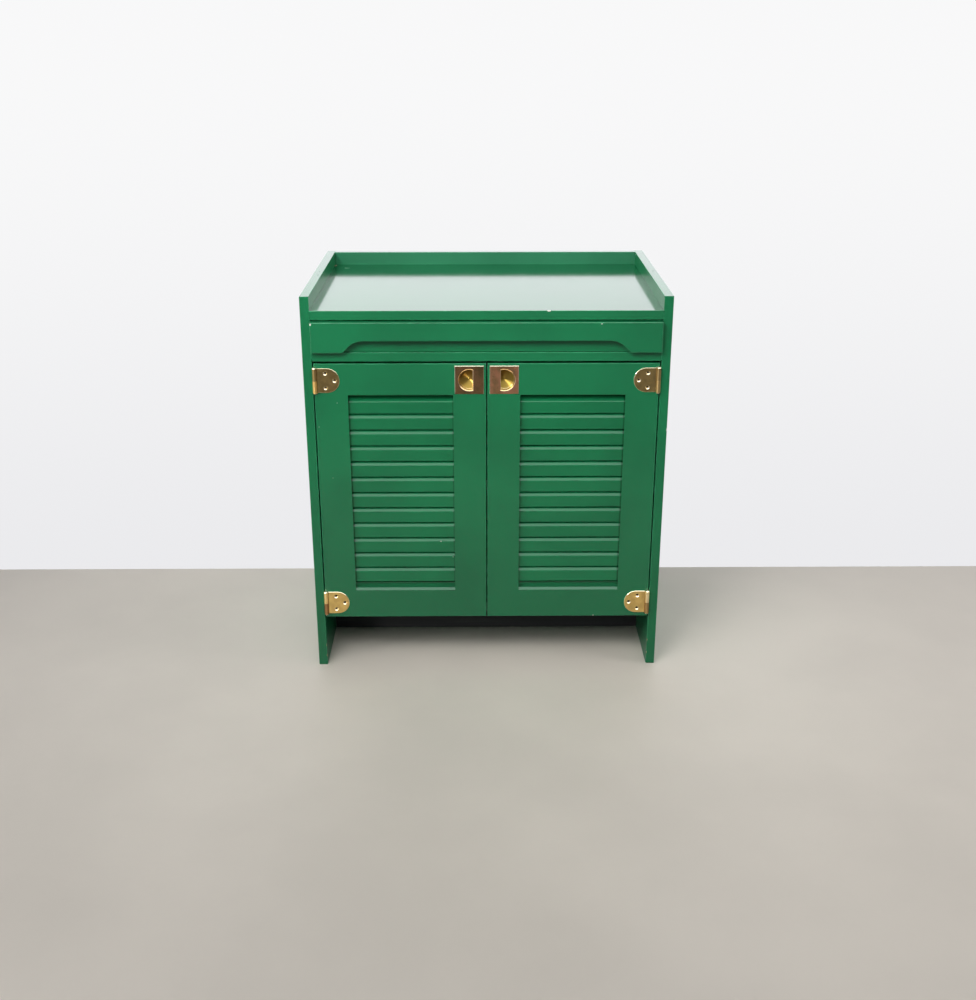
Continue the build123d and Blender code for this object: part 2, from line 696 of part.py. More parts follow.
def drawer_bottom():
    """The thin bottom, held in the grooves all round."""
    spare = BOX_GROOVE_CLEARANCE
    reach_x = BOX_INNER + BOX_GROOVE - spare
    front = BOX_FRONT + BOX_END_THICK - BOX_GROOVE + spare
    back = BOX_BACK - BOX_END_THICK + BOX_GROOVE - spare
    with BuildPart() as board:
        block((-reach_x, front, BOX_FLOOR), (reach_x, back, BOX_FLOOR + BOX_BOTTOM_THICK))
    return board


# ---------------------------------------------------------------- doors


def slat_plane(x):
    """The plane across the slats at x: its x axis runs to the back, its y axis up."""
    return Plane(origin=(x, SLAT_FRONT, 0), x_dir=(0, 1, 0), z_dir=(1, 0, 0))


def slat_bases():
    """The height of the lower front edge of each slat."""
    return [OPENING_LOW + SLAT_MARGIN_LOW + SLAT_PITCH * n for n in range(SLAT_COUNT)]


def door_slats(side):
    """The slats of one door: upright faces, rounded noses and ledges that rise to the back."""
    reach = SLAT_HOUSING - SLAT_CLEARANCE
    low_x, high_x = mirrored(side, OPENING_INNER - reach, OPENING_OUTER + reach)
    with BuildPart() as slats:
        for base in slat_bases():
            with BuildSketch(slat_plane(low_x)) as section:
                with BuildLine():
                    Polyline(
                        (0, base),
                        (0, base + SLAT_FACE),
                        (SLAT_DEPTH, base + SLAT_FACE + SLAT_RISE),
                        (SLAT_DEPTH, base + SLAT_RISE),
                        close=True,
                    )
                make_face()
                fillet(section.vertices().group_by(Axis.X)[0].sort_by(Axis.Y)[-1], SLAT_NOSE)
                fillet(section.vertices().group_by(Axis.X)[0].sort_by(Axis.Y)[0], DOOR_ROUND)
            extrude(amount=high_x - low_x)
    return slats


def cut_slat_housings(side, x, depth):
    """Cuts the slats' housings into a stile, from its inner face at x."""
    start = min(x, x + depth)
    spare = SLAT_CLEARANCE
    for base in slat_bases():
        with BuildSketch(slat_plane(start), mode=Mode.PRIVATE) as section:
            with BuildLine():
                Polyline(
                    (-spare, base - spare),
                    (-spare, base + SLAT_FACE + spare),
                    (SLAT_DEPTH + spare, base + SLAT_FACE + SLAT_RISE + 2 * spare),
                    (SLAT_DEPTH + spare, base + SLAT_RISE - spare),
                    close=True,
                )
            make_face()
        extrude(section.sketch, amount=abs(depth), mode=Mode.SUBTRACT)


def drill_frame(side):
    """Cuts the holes of one door's frame dowels."""
    for centre in frame_dowel_centres(side):
        length = 2 * (FRAME_DOWEL_IN + DOWEL_FIT)
        rod(centre, (1, 0, 0), FRAME_DOWEL_RADIUS + DOWEL_FIT, length, mode=Mode.SUBTRACT)


def hinge_stile(side):
    """The outer stile, which carries the hinge leaves."""
    low_x, high_x = mirrored(side, OPENING_OUTER, DOOR_OUTER)
    with BuildPart() as stile:
        block((low_x, FRONT, DOOR_BOTTOM), (high_x, DOOR_BACK, DOOR_TOP))
        front_edges = stile.faces().sort_by(Axis.Y)[0].edges()
        outer = front_edges.filter_by(Axis.Z).sort_by(Axis.X)[0 if side < 0 else -1]
        fillet([*front_edges.filter_by(Axis.X), outer], DOOR_ROUND)
        drill_frame(side)
        cut_slat_housings(side, side * OPENING_OUTER, side * SLAT_HOUSING)
        for height in HINGE_HEIGHTS.values():
            screw_holes(leaf_screw_planes("door", side, height), LEAF_SCREW_LENGTH)
    return stile


def meeting_stile(side):
    """The inner stile, with the pocket for the pull's cup."""
    low_x, high_x = mirrored(side, DOOR_INNER, OPENING_INNER)
    with BuildPart() as stile:
        block((low_x, FRONT, DOOR_BOTTOM), (high_x, DOOR_BACK, DOOR_TOP))
        front_edges = stile.faces().sort_by(Axis.Y)[0].edges()
        free = front_edges.filter_by(Axis.Z).sort_by(Axis.X)[-1 if side < 0 else 0]
        fillet([*front_edges.filter_by(Axis.X), free], DOOR_ROUND)
        centre = (side * PULL_X, FRONT + POCKET_DEPTH / 2, PULL_Z)
        rod(centre, (0, 1, 0), POCKET_RADIUS, POCKET_DEPTH, mode=Mode.SUBTRACT)
        drill_frame(side)
        cut_slat_housings(side, side * OPENING_INNER, -side * SLAT_HOUSING)
        screw_holes([strike_screw_plane(side)], STRIKE_SCREW_LENGTH)
    return stile


def door_rail(side, low, high, sill):
    """A rail between the stiles; the sill is bevelled in front and has a lip behind the slats."""
    low_x, high_x = mirrored(side, OPENING_INNER, OPENING_OUTER)
    with BuildPart() as rail:
        block((low_x, FRONT, low), (high_x, DOOR_BACK, high))
        front_edges = rail.faces().sort_by(Axis.Y)[0].edges().filter_by(Axis.X).sort_by(Axis.Z)
        fillet(front_edges[:1] if sill else front_edges, DOOR_ROUND)
        if sill:
            upper = rail.faces().sort_by(Axis.Y)[0].edges().filter_by(Axis.X).sort_by(Axis.Z)[-1]
            chamfer(upper, SILL_BEVEL)
            block((low_x, DOOR_BACK - LIP_DEPTH, high), (high_x, DOOR_BACK, high + LIP_HEIGHT))
        drill_frame(side)
    return rail


def frame_dowels(side):
    """The dowels that join one door's rails and stiles."""
    with BuildPart() as dowels:
        for centre in frame_dowel_centres(side):
            rod(centre, (1, 0, 0), FRAME_DOWEL_RADIUS, 2 * FRAME_DOWEL_IN)
    return dowels


def pull_plate(side):
    """A square brass plate with a D-shaped opening, straight towards the door's free edge."""
    seat = Plane(origin=(side * PULL_X, FRONT, PULL_Z), x_dir=(-side, 0, 0), z_dir=(0, -1, 0))
    half = PULL_SIZE / 2
    with BuildPart() as plate:
        with BuildSketch(seat):
            Rectangle(PULL_SIZE, PULL_SIZE)
        extrude(amount=PULL_THICK)
        chamfer(plate.faces().sort_by(Axis.Y)[0].edges(), PULL_BEVEL)
        with BuildSketch(seat):
            Circle(PULL_DISH_RADIUS)
            with Locations((PULL_LIP + half / 2, 0)):
                Rectangle(half, PULL_SIZE, mode=Mode.SUBTRACT)
        extrude(amount=PULL_THICK, mode=Mode.SUBTRACT)
    return plate


def pull_cup(side):
    """The turned dish behind the plate, with a floor that falls to its centre."""
    seat = Plane(origin=(side * PULL_X, FRONT, PULL_Z), x_dir=(1, 0, 0), z_dir=(0, 0, 1))
    outer = PULL_DISH_RADIUS + CUP_WALL
    with BuildPart() as cup:
        with BuildSketch(seat):
            with BuildLine():
                Polyline(
                    (0, CUP_DEPTH + CUP_WALL),
                    (outer, CUP_DEPTH + CUP_WALL),
                    (outer, 0),
                    (PULL_DISH_RADIUS, 0),
                    (PULL_DISH_RADIUS, CUP_RIM_DEPTH),
                    (0, CUP_DEPTH),
                    close=True,
                )
            make_face()
        revolve(axis=Axis((side * PULL_X, FRONT, PULL_Z), (0, 1, 0)))
    return cup


def strike_plate(side):
    """The steel plate on a door's back that its catch holds."""
    low_x, high_x = mirrored(side, CATCH_AT - STRIKE_WIDTH / 2, CATCH_AT + STRIKE_WIDTH / 2)
    high = DOOR_TOP - STRIKE_DROP
    with BuildPart() as plate:
        block((low_x, DOOR_BACK, high - STRIKE_HEIGHT), (high_x, DOOR_BACK + STRIKE_THICK, high))
        screw_holes([strike_screw_plane(side)], STRIKE_SCREW_LENGTH)
    return plate


def door_screws(side):
    """The screws of one door: three in each hinge leaf and one in the strike plate."""
    with BuildPart() as group:
        for height in HINGE_HEIGHTS.values():
            screws(leaf_screw_planes("door", side, height), LEAF_SCREW_LENGTH)
        screws([strike_screw_plane(side)], STRIKE_SCREW_LENGTH)
    return group


# ---------------------------------------------------------------- writing the pieces


def write_carcass():
    """Writes every fixed piece."""
    for name, side in SIDES.items():
        save(side_panel(side), f"side_panel_{name}")
        save(drawer_runner(side), f"drawer_runner_{name}")
        for level in HINGE_HEIGHTS:
            save(hinge_leaf("frame", side, level), f"{level}_{name}_frame_hinge_leaf")
            save(hinge_pin(side, level), f"{level}_{name}_hinge_pin")
    save(top_panel(), "top_panel")
    save(gallery_rail(), "gallery_rail")
    save(divider_panel(), "divider_panel")
    save(bottom_panel(), "bottom_panel")
    save(back_panel(), "back_panel")
    save(plinth_board(), "plinth_board")
    save(cupboard_shelf(), "cupboard_shelf")
    save(shelf_pins(), "shelf_pins")
    save(carcass_dowels(), "carcass_dowels")
    save(drawer_stops(), "drawer_stops")
    save(magnetic_catches(), "magnetic_catches")
    save(screw_group(catch_screw_planes(), CATCH_SCREW_LENGTH), "catch_screws")
    save(screw_group(back_screw_planes(), BACK_SCREW_LENGTH), "back_panel_screws")
    runner_planes = [plane for side in SIDES.values() for plane in runner_screw_planes(side)]
    save(screw_group(runner_planes, RUNNER_SCREW_LENGTH), "runner_screws")
    leaf_planes = [
        plane
        for side in SIDES.values()
        for height in HINGE_HEIGHTS.values()
        for plane in leaf_screw_planes("frame", side, height)
    ]
    save(screw_group(leaf_planes, LEAF_SCREW_LENGTH), "frame_hinge_screws")


def write_drawer():
    """Writes every piece that slides with the drawer."""
    save(drawer_front(), "drawer_front")
    save(drawer_box_front(), "drawer_box_front")
    save(drawer_back(), "drawer_back")
    save(drawer_bottom(), "drawer_bottom")
    for name, side in SIDES.items():
        save(drawer_side(side), f"drawer_side_{name}")
    save(screw_group(drawer_front_screw_planes(), FRONT_SCREW_LENGTH), "drawer_front_screws")


def write_door(name, side):
    """Writes every piece that swings with one door."""
    door = f"{name}_door"
    save(hinge_stile(side), f"{door}_hinge_stile")
    save(meeting_stile(side), f"{door}_meeting_stile")
    save(door_rail(side, OPENING_HIGH, DOOR_TOP, sill=False), f"{door}_top_rail")
    save(door_rail(side, DOOR_BOTTOM, OPENING_LOW, sill=True), f"{door}_bottom_rail")
    save(door_slats(side), f"{door}_slats")
    save(frame_dowels(side), f"{door}_dowels")
    for level in HINGE_HEIGHTS:
        save(hinge_leaf("door", side, level), f"{door}_{level}_hinge_leaf")
    save(door_screws(side), f"{door}_screws")
    save(pull_plate(side), f"{door}_pull_plate")
    save(pull_cup(side), f"{door}_pull_cup")
    save(strike_plate(side), f"{door}_strike_plate")


os.makedirs("parts", exist_ok=True)
write_carcass()
write_drawer()
for door_name, door_side in SIDES.items():
    write_door(door_name, door_side)
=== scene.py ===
import logging
import math
from dataclasses import dataclass
from enum import Enum
from functools import cached_property

import bpy
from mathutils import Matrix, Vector


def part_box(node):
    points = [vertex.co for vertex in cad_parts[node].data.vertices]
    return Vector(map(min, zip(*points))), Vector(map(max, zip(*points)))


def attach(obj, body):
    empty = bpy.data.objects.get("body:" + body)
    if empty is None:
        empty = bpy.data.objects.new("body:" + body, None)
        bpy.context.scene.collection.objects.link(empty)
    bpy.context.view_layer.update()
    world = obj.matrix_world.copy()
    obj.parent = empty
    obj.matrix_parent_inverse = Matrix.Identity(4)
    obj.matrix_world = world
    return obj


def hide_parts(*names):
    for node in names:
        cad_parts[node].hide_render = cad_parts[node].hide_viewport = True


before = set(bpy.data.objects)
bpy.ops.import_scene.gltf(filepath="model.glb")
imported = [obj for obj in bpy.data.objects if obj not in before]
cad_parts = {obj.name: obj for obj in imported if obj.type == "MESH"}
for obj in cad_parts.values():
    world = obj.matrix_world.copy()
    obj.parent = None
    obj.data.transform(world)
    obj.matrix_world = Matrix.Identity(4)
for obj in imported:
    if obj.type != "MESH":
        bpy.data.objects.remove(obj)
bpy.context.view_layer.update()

logging.basicConfig(level=logging.INFO, format="%(message)s")
log = logging.getLogger("cabinet")

MM = 0.001
Point = tuple[float, float, float]
Colour = tuple[float, float, float]
Span = tuple[float, float]
Socket = bpy.types.NodeSocket
Input = Socket | float | tuple[float, ...]
Box = tuple[Point, Point]

BLACK: Colour = (0.0, 0.0, 0.0)
BIRCH: tuple[Colour, Colour] = ((0.68, 0.52, 0.33), (0.5, 0.34, 0.18))
NICK: Colour = (0.06, 0.1, 0.08)
SCRAPED_FOOT: Colour = (0.55, 0.45, 0.28)
SCUFFED_FOOT: Colour = (0.6, 0.48, 0.3)
MIX_UNDER, MIX_OVER, MIX_RESULT = 6, 7, 2  # the Mix node's sockets for colours


class Side(Enum):
    """The cabinet's left or right half, seen from the front."""

    LEFT = -1
    RIGHT = 1

    @property
    def label(self) -> str:
        """The half's name as the nodes spell it."""
        return self.name.lower()


class Level(Enum):
    """The upper or the lower hinge of a door."""

    UPPER = "upper"
    LOWER = "lower"


class Grain(Enum):
    """The way a board's grain runs, as the axis its pattern is drawn out along."""

    ACROSS = (0.06, 1.0, 1.0)
    DEEP = (1.0, 0.06, 1.0)
    UPRIGHT = (1.0, 1.0, 0.06)


class Detail(Enum):
    """How many finer layers a noise has."""

    SOFT = 2.0
    MIXED = 3.0
    ROUGH = 4.0
    COARSE = 5.0
    BUSY = 6.0


# ---------------------------------------------------------------- material nodes


class Recipe:
    """The node tree of a material or of the world, added to one node at a time."""

    def __init__(self, owner: bpy.types.Material | bpy.types.World) -> None:
        """Starts an empty tree.

        Args:
            owner: The material or world that the tree belongs to.
        """
        owner.use_nodes = True
        self.owner = owner
        self.tree = owner.node_tree
        self.tree.nodes.clear()

    @cached_property
    def place(self) -> Socket:
        """The shaded point, in Object coordinates."""
        return self.add("ShaderNodeTexCoord").outputs["Object"]

    @cached_property
    def axes(self) -> list[Socket]:
        """The shaded point's X, Y and Z, each by itself."""
        return list(self.add("ShaderNodeSeparateXYZ", {0: self.place}).outputs)

    def facing(self, axis: int) -> Socket:
        """How squarely the surface looks along an axis.

        Args:
            axis: 0, 1 or 2 for X, Y or Z.

        Returns:
            A number from 0 to 1.
        """
        outward = self.add("ShaderNodeTexCoord").outputs["Normal"]
        return self.sum("ABSOLUTE", self.add("ShaderNodeSeparateXYZ", {0: outward}).outputs[axis])

    def add(
        self, kind: str, inputs: dict[int | str, Input] | None = None, **settings: object
    ) -> bpy.types.Node:
        """Adds a node.

        Args:
            kind: The node's Blender type.
            inputs: Values or sockets, by the name or number of the input.
            settings: The node's own properties.

        Returns:
            The new node.
        """
        node = self.tree.nodes.new(kind)
        for key, setting in settings.items():
            setattr(node, key, setting)
        for key, value in (inputs or {}).items():
            if isinstance(value, Socket):
                self.tree.links.new(value, node.inputs[key])
            else:
                node.inputs[key].default_value = value
        return node

    def sum(self, operation: str, *terms: Input, clamp: bool = False) -> Socket:
        """Joins numbers by one operation of a Math node.

        Args:
            operation: The operation's Blender name.
            terms: One to three numbers or sockets.
            clamp: Whether the result is kept between 0 and 1.

        Returns:
            The result.
        """
        inputs = dict(enumerate(terms))
        return self.add("ShaderNodeMath", inputs, operation=operation, use_clamp=clamp).outputs[0]

    def vector(self, operation: str, left: Input, right: Input) -> Socket:
        """Joins two vectors by one operation of a Vector Math node.

        Args:
            operation: The operation's Blender name.
            left: The first vector.
            right: The second vector.

        Returns:
            The result.
        """
        return self.add("ShaderNodeVectorMath", {0: left, 1: right}, operation=operation).outputs[0]

    def length(self, vector: Socket) -> Socket:
        """The length of a vector."""
        return self.add("ShaderNodeVectorMath", {0: vector}, operation="LENGTH").outputs[1]

    def span(self, value: Socket, low: float, high: float, start: float = 0.0, end: float = 1.0) -> Socket:
        """Turns low to high into start to end, smoothly and without passing them.

        Args:
            value: What is turned.
            low: The value that gives start.
            high: The value that gives end.
            start: The result at low.
            end: The result at high.

        Returns:
            The result.
        """
        inputs = {0: value, 1: low, 2: high, 3: start, 4: end}
        return self.add("ShaderNodeMapRange", inputs, interpolation_type="SMOOTHSTEP").outputs[0]

    def noise(self, scale: float, detail: Detail, place: Socket | None = None) -> Socket:
        """Cloudy noise around 0.5.

        Args:
            scale: How many features there are to a metre.
            detail: How many finer layers it has.
            place: Where it is read, if not at Object coordinates.

        Returns:
            The noise.
        """
        inputs = {"Vector": place or self.place, "Scale": scale, "Detail": detail.value}
        return self.add("ShaderNodeTexNoise", inputs).outputs[0]

    def drawn(self, factors: Point) -> Socket:
        """Object coordinates drawn out along an axis.

        Args:
            factors: The scale along X, Y and Z; a small one draws a pattern out.

        Returns:
            The coordinates.
        """
        return self.add("ShaderNodeMapping", {"Vector": self.place, "Scale": factors}).outputs[0]

    def blend(self, factor: Input, under: Socket | Colour, over: Socket | Colour) -> Socket:
        """Mixes two colours.

        Args:
            factor: How much of the upper colour shows.
            under: The lower colour.
            over: The upper colour.

        Returns:
            The mixed colour.
        """
        lower = under if isinstance(under, Socket) else (*under, 1.0)
        upper = over if isinstance(over, Socket) else (*over, 1.0)
        inputs = {0: factor, MIX_UNDER: lower, MIX_OVER: upper}
        return self.add("ShaderNodeMix", inputs, data_type="RGBA").outputs[MIX_RESULT]

    def relief(self, height: Socket, depth: float, under: Socket | None = None) -> Socket:
        """A bumped normal.

        Args:
            height: The relief's height, from 0 to 1.
            depth: How deep 1 is, in metres.
            under: A normal that this relief lies on.

        Returns:
            The normal.
        """
        inputs: dict[int | str, Input] = {"Height": height, "Distance": depth}
        if under is not None:
            inputs["Normal"] = under
        return self.add("ShaderNodeBump", inputs).outputs[0]

    def finish(self, **inputs: Input) -> bpy.types.Material:
        """Ends the tree in a Principled shader.

        Args:
            inputs: The shader's inputs, with underscores for the spaces in their names.

        Returns:
            The finished material.
        """
        named = {key.replace("_", " "): value for key, value in inputs.items()}
        shader = self.add("ShaderNodeBsdfPrincipled", named)
        self.add("ShaderNodeOutputMaterial", {0: shader.outputs[0]})
        return self.owner


# ---------------------------------------------------------------- finishes


def scaled(value: float, factors: Span) -> Span:
    """A value times each of two factors."""
    return value * factors[0], value * factors[1]


@dataclass(frozen=True)
class Mark:
    """A small mark in a lacquered face: its place, its reach and what shows there."""

    place: Point
    reach: float
    colour: Colour = (0.78, 0.78, 0.68)
    stretch: Point = (1.0, 1.0, 1.0)


@dataclass(frozen=True)
class Lacquer:
    """Glossy green lacquer, brushed on by hand, with the marks of use; its paler edges are partly worn by
    hands and cloths and partly a painted highlight, and it carries painted shade lower down and along any
    given lines.
    """

    name: str
    colour: Colour = (0.0085, 0.182, 0.066)
    shade: Colour = (0.008, 0.158, 0.058)
    rubbed: Colour = (0.035, 0.27, 0.125)
    roughness: float = 0.11
    side_haze: float = 0.0
    soiled: float = 0.18
    soiled_heights: Span = (0.1, 0.5)
    shine: float = 0.5
    refraction: float = 1.5
    marks: tuple[Mark, ...] = ()
    crevices: tuple[float, ...] = ()
    crevice_reach: float = 0.0035
    crevice_colour: Colour = (0.003, 0.07, 0.025)
    crevice_share: float = 0.9
    mark_roughness: float = 0.8
    mark_core: float = 0.85
    cloud_scale: float = 5.0
    cloud_span: Span = (0.35, 0.65)
    wear_scale: float = 15.0
    wear_span: Span = (0.3, 0.75)
    wear_factors: Span = (0.93, 1.1)
    peel_scale: float = 170.0
    peel_depth: float = 0.000022
    ragged_scale: float = 420.0
    ragged_reach: float = 0.0022
    rub_scale: float = 45.0
    rub_reach: float = 0.0017
    rub_core: float = 0.3
    rub_span: Span = (0.4, 0.62)
    rub_shares: Span = (0.15, 0.8)
    rub_haze: float = 0.1

    def material(self, edges: Box | None = None) -> bpy.types.Material:
        """Builds the lacquer.

        Args:
            edges: The box whose edges are paler, partly worn and partly painted with a highlight, if the
                piece has such edges.

        Returns:
            The material.
        """
        recipe = Recipe(bpy.data.materials.new(self.name))
        clouds = recipe.span(recipe.noise(self.cloud_scale, Detail.ROUGH), *self.cloud_span)
        colour = recipe.blend(clouds, self.shade, self.colour)
        # Painted shade: the colour darkens towards black lower down the piece.
        painted_shade_below = recipe.span(recipe.axes[2], *self.soiled_heights, self.soiled, 0.0)
        colour = recipe.blend(painted_shade_below, colour, BLACK)
        normal = recipe.relief(recipe.noise(self.peel_scale, Detail.SOFT), self.peel_depth)
        wear = recipe.noise(self.wear_scale, Detail.MIXED)
        rough = recipe.span(wear, *self.wear_span, *scaled(self.roughness, self.wear_factors))
        if edges is not None:
            # Paler edges: partly wear, partly a painted highlight.
            rub = self.rub(recipe, edges)
            colour = recipe.blend(rub, colour, self.rubbed)
            rough = recipe.sum("MULTIPLY_ADD", rub, self.rub_haze, rough)
        if self.side_haze > 0.0:
            rough = recipe.sum("MULTIPLY_ADD", recipe.facing(0), self.side_haze, rough)
        # Painted shade: a dark strip beside each given X, such as the slats' ends by the stiles, stands in
        # for the shadow there.
        for line in self.crevices:
            away = recipe.sum("ABSOLUTE", recipe.sum("SUBTRACT", recipe.axes[0], line))
            close = recipe.span(away, 0.0, self.crevice_reach, self.crevice_share, 0.0)
            colour = recipe.blend(close, colour, self.crevice_colour)
        for mark in self.marks:
            inside = self.inside(recipe, mark)
            colour = recipe.blend(inside, colour, mark.colour)
            rough = recipe.sum("MULTIPLY_ADD", inside, self.mark_roughness, rough)
        gloss = {"IOR": self.refraction, "Specular_IOR_Level": self.shine}
        return recipe.finish(Base_Color=colour, Roughness=rough, Normal=normal, **gloss)

    def rub(self, recipe: Recipe, edges: Box) -> Socket:
        """A mask of the stretches of a box's edges that are paler: partly worn thin by hands and cloths,
        partly a painted highlight.

        Args:
            recipe: The material being built.
            edges: The box.

        Returns:
            The mask.
        """
        low, high = edges
        inset = []
        for axis, place in enumerate(recipe.axes):
            offset = recipe.sum("ABSOLUTE", recipe.sum("SUBTRACT", place, (low[axis] + high[axis]) / 2))
            inset.append(recipe.sum("SUBTRACT", (high[axis] - low[axis]) / 2, offset))
        lesser = recipe.sum("MINIMUM", inset[0], inset[1])
        greater = recipe.sum("MAXIMUM", inset[0], inset[1])
        from_edge = recipe.sum("MAXIMUM", lesser, recipe.sum("MINIMUM", greater, inset[2]))
        near = recipe.span(from_edge, self.rub_reach * self.rub_core, self.rub_reach, 1.0, 0.0)
        uneven = recipe.span(recipe.noise(self.rub_scale, Detail.ROUGH), *self.rub_span, *self.rub_shares)
        return recipe.sum("MULTIPLY", near, uneven)

    def inside(self, recipe: Recipe, mark: Mark) -> Socket:
        """A mask that is 1 inside a mark with a ragged outline.

        Args:
            recipe: The material being built.
            mark: The mark.

        Returns:
            The mask.
        """
        offset = recipe.vector("SUBTRACT", recipe.place, mark.place)
        length = recipe.length(recipe.vector("MULTIPLY", offset, mark.stretch))
        rag = recipe.noise(self.ragged_scale, Detail.MIXED)
        edge = recipe.sum("MULTIPLY_ADD", rag, self.ragged_reach, length)
        middle = mark.reach + self.ragged_reach / 2
        return recipe.span(edge, middle * self.mark_core, middle, 1.0, 0.0)


@dataclass(frozen=True)
class Brass:
    """Old brass with a polish: brown patina in its clouds, paler where a plate's edges are rounded (partly
    worn through, partly a painted highlight), and optionally painted shade in recesses.
    """

    name: str
    colour: Colour = (0.84, 0.57, 0.22)
    patina: Colour = (0.54, 0.35, 0.14)
    bare: Colour = (1.0, 0.93, 0.68)
    patina_share: float = 0.6
    bare_share: float = 0.0
    roughness: float = 0.17
    bare_within: float = 1.0
    barrel: Colour | None = None
    barrel_haze: float = 0.19
    grime: Colour = (0.05, 0.032, 0.012)
    grime_haze: float = 0.5
    grimed: Span | None = None
    cloud_scale: float = 70.0
    cloud_span: Span = (0.38, 0.66)
    edge_span: Span = (0.8, 0.97)
    stroke_factors: Point = (0.12, 1.0, 1.0)
    stroke_scale: float = 1500.0
    stroke_span: Span = (0.3, 0.7)
    stroke_depth: float = 0.0000025
    haze_factors: Span = (0.9, 1.15)

    def material(self) -> bpy.types.Material:
        """Builds the brass.

        Returns:
            The material.
        """
        recipe = Recipe(bpy.data.materials.new(self.name))
        noise = recipe.noise(self.cloud_scale, Detail.MIXED)
        clouds = recipe.span(noise, *self.cloud_span, 0.0, self.patina_share)
        colour = recipe.blend(clouds, self.colour, self.patina)
        if self.bare_share > 0.0:
            # Paler rounded edges: partly worn through, partly a painted highlight.
            colour = recipe.blend(self.rounded(recipe), colour, self.bare)
        strokes = recipe.noise(self.stroke_scale, Detail.SOFT, recipe.drawn(self.stroke_factors))
        normal = recipe.relief(strokes, self.stroke_depth)
        rough = recipe.span(strokes, *self.stroke_span, *scaled(self.roughness, self.haze_factors))
        # The barrel's own tone; on the hinges it carries painted light as well as polish.
        if self.barrel is not None:
            beyond = recipe.sum("GREATER_THAN", recipe.sum("ABSOLUTE", recipe.axes[0]), self.bare_within)
            colour = recipe.blend(beyond, colour, self.barrel)
            rough = recipe.sum("MULTIPLY_ADD", beyond, self.barrel_haze, rough)
        # Painted shade: the screws' recesses are darkened where shade falls in them.
        if self.grimed is not None:
            recessed = self.recessed(recipe, *self.grimed)
            colour = recipe.blend(recessed, colour, self.grime)
            rough = recipe.sum("MULTIPLY_ADD", recessed, self.grime_haze, rough)
        return recipe.finish(Base_Color=colour, Roughness=rough, Normal=normal, Metallic=1.0)

    def rounded(self, recipe: Recipe) -> Socket:
        """A mask of the rounded edges of a plate that looks along Y, up to a reach from the middle.

        Args:
            recipe: The material being built.

        Returns:
            The mask.
        """
        turned = recipe.span(recipe.facing(1), *self.edge_span, self.bare_share, 0.0)
        reach = recipe.sum("ABSOLUTE", recipe.axes[0])
        within = recipe.sum("LESS_THAN", reach, self.bare_within)
        return recipe.sum("MULTIPLY", turned, within)

    def recessed(self, recipe: Recipe, front: float, back: float) -> Socket:
        """A mask of what lies between two depths, which gets painted shade.

        Args:
            recipe: The material being built.
            front: The Y at which the painted shade starts.
            back: The Y at which it ends.

        Returns:
            The mask.
        """
        behind = recipe.sum("GREATER_THAN", recipe.axes[1], front)
        return recipe.sum("MULTIPLY", behind, recipe.sum("LESS_THAN", recipe.axes[1], back))


@dataclass(frozen=True)
class TurnedBrass:
    """Brass with the rings of a lathe round a centre, which draw its highlights into rays."""

    name: str
    centre: Point
    polished_way: Point
    colour: Colour = (0.55, 0.37, 0.08)
    patina: Colour = (0.17, 0.08, 0.012)
    bare: Colour = (0.98, 0.86, 0.6)
    roughness: float = 0.4
    wall_roughness: float = 0.16
    anisotropy: float = 0.96
    cloud_scale: float = 130.0
    ragged: float = 8.0 * MM
    patina_share: float = 0.95
    wall_span: Span = (0.6, 0.9)
    ring_scale: float = 900.0
    ring_factors: Span = (0.92, 1.08)

    def material(self) -> bpy.types.Material:
        """Builds the turned brass.

        Returns:
            The material.
        """
        recipe = Recipe(bpy.data.materials.new(self.name))
        spoke = recipe.vector("SUBTRACT", recipe.place, self.centre)
        flat = recipe.vector("MULTIPLY", spoke, (1.0, 0.0, 1.0))
        radius = recipe.length(flat)
        turns = recipe.sum("SINE", recipe.sum("MULTIPLY", radius, self.ring_scale * math.tau))
        rough = recipe.span(turns, -1.0, 1.0, *scaled(self.roughness, self.ring_factors))
        # The dish is darker on one side of a line through its centre, opposite the given way.
        ways = {0: spoke, 1: self.polished_way}
        along = recipe.add("ShaderNodeVectorMath", ways, operation="DOT_PRODUCT").outputs[1]
        clouds = recipe.noise(self.cloud_scale, Detail.ROUGH)
        line = recipe.sum("MULTIPLY_ADD", clouds, self.ragged, along)
        kept = recipe.span(line, -self.ragged, self.ragged, self.patina_share, 0.0)
        colour = recipe.blend(kept, self.colour, self.patina)
        # The dish's wall is paler: partly worn, partly a painted highlight.
        wall = recipe.span(recipe.facing(1), *self.wall_span, 1.0, 0.0)
        colour = recipe.blend(wall, colour, self.bare)
        step = recipe.sum("SUBTRACT", self.wall_roughness, rough)
        rough = recipe.sum("MULTIPLY_ADD", wall, step, rough)
        return recipe.finish(
            Base_Color=colour, Roughness=rough, Metallic=1.0, Anisotropic=self.anisotropy, Tangent=flat
        )


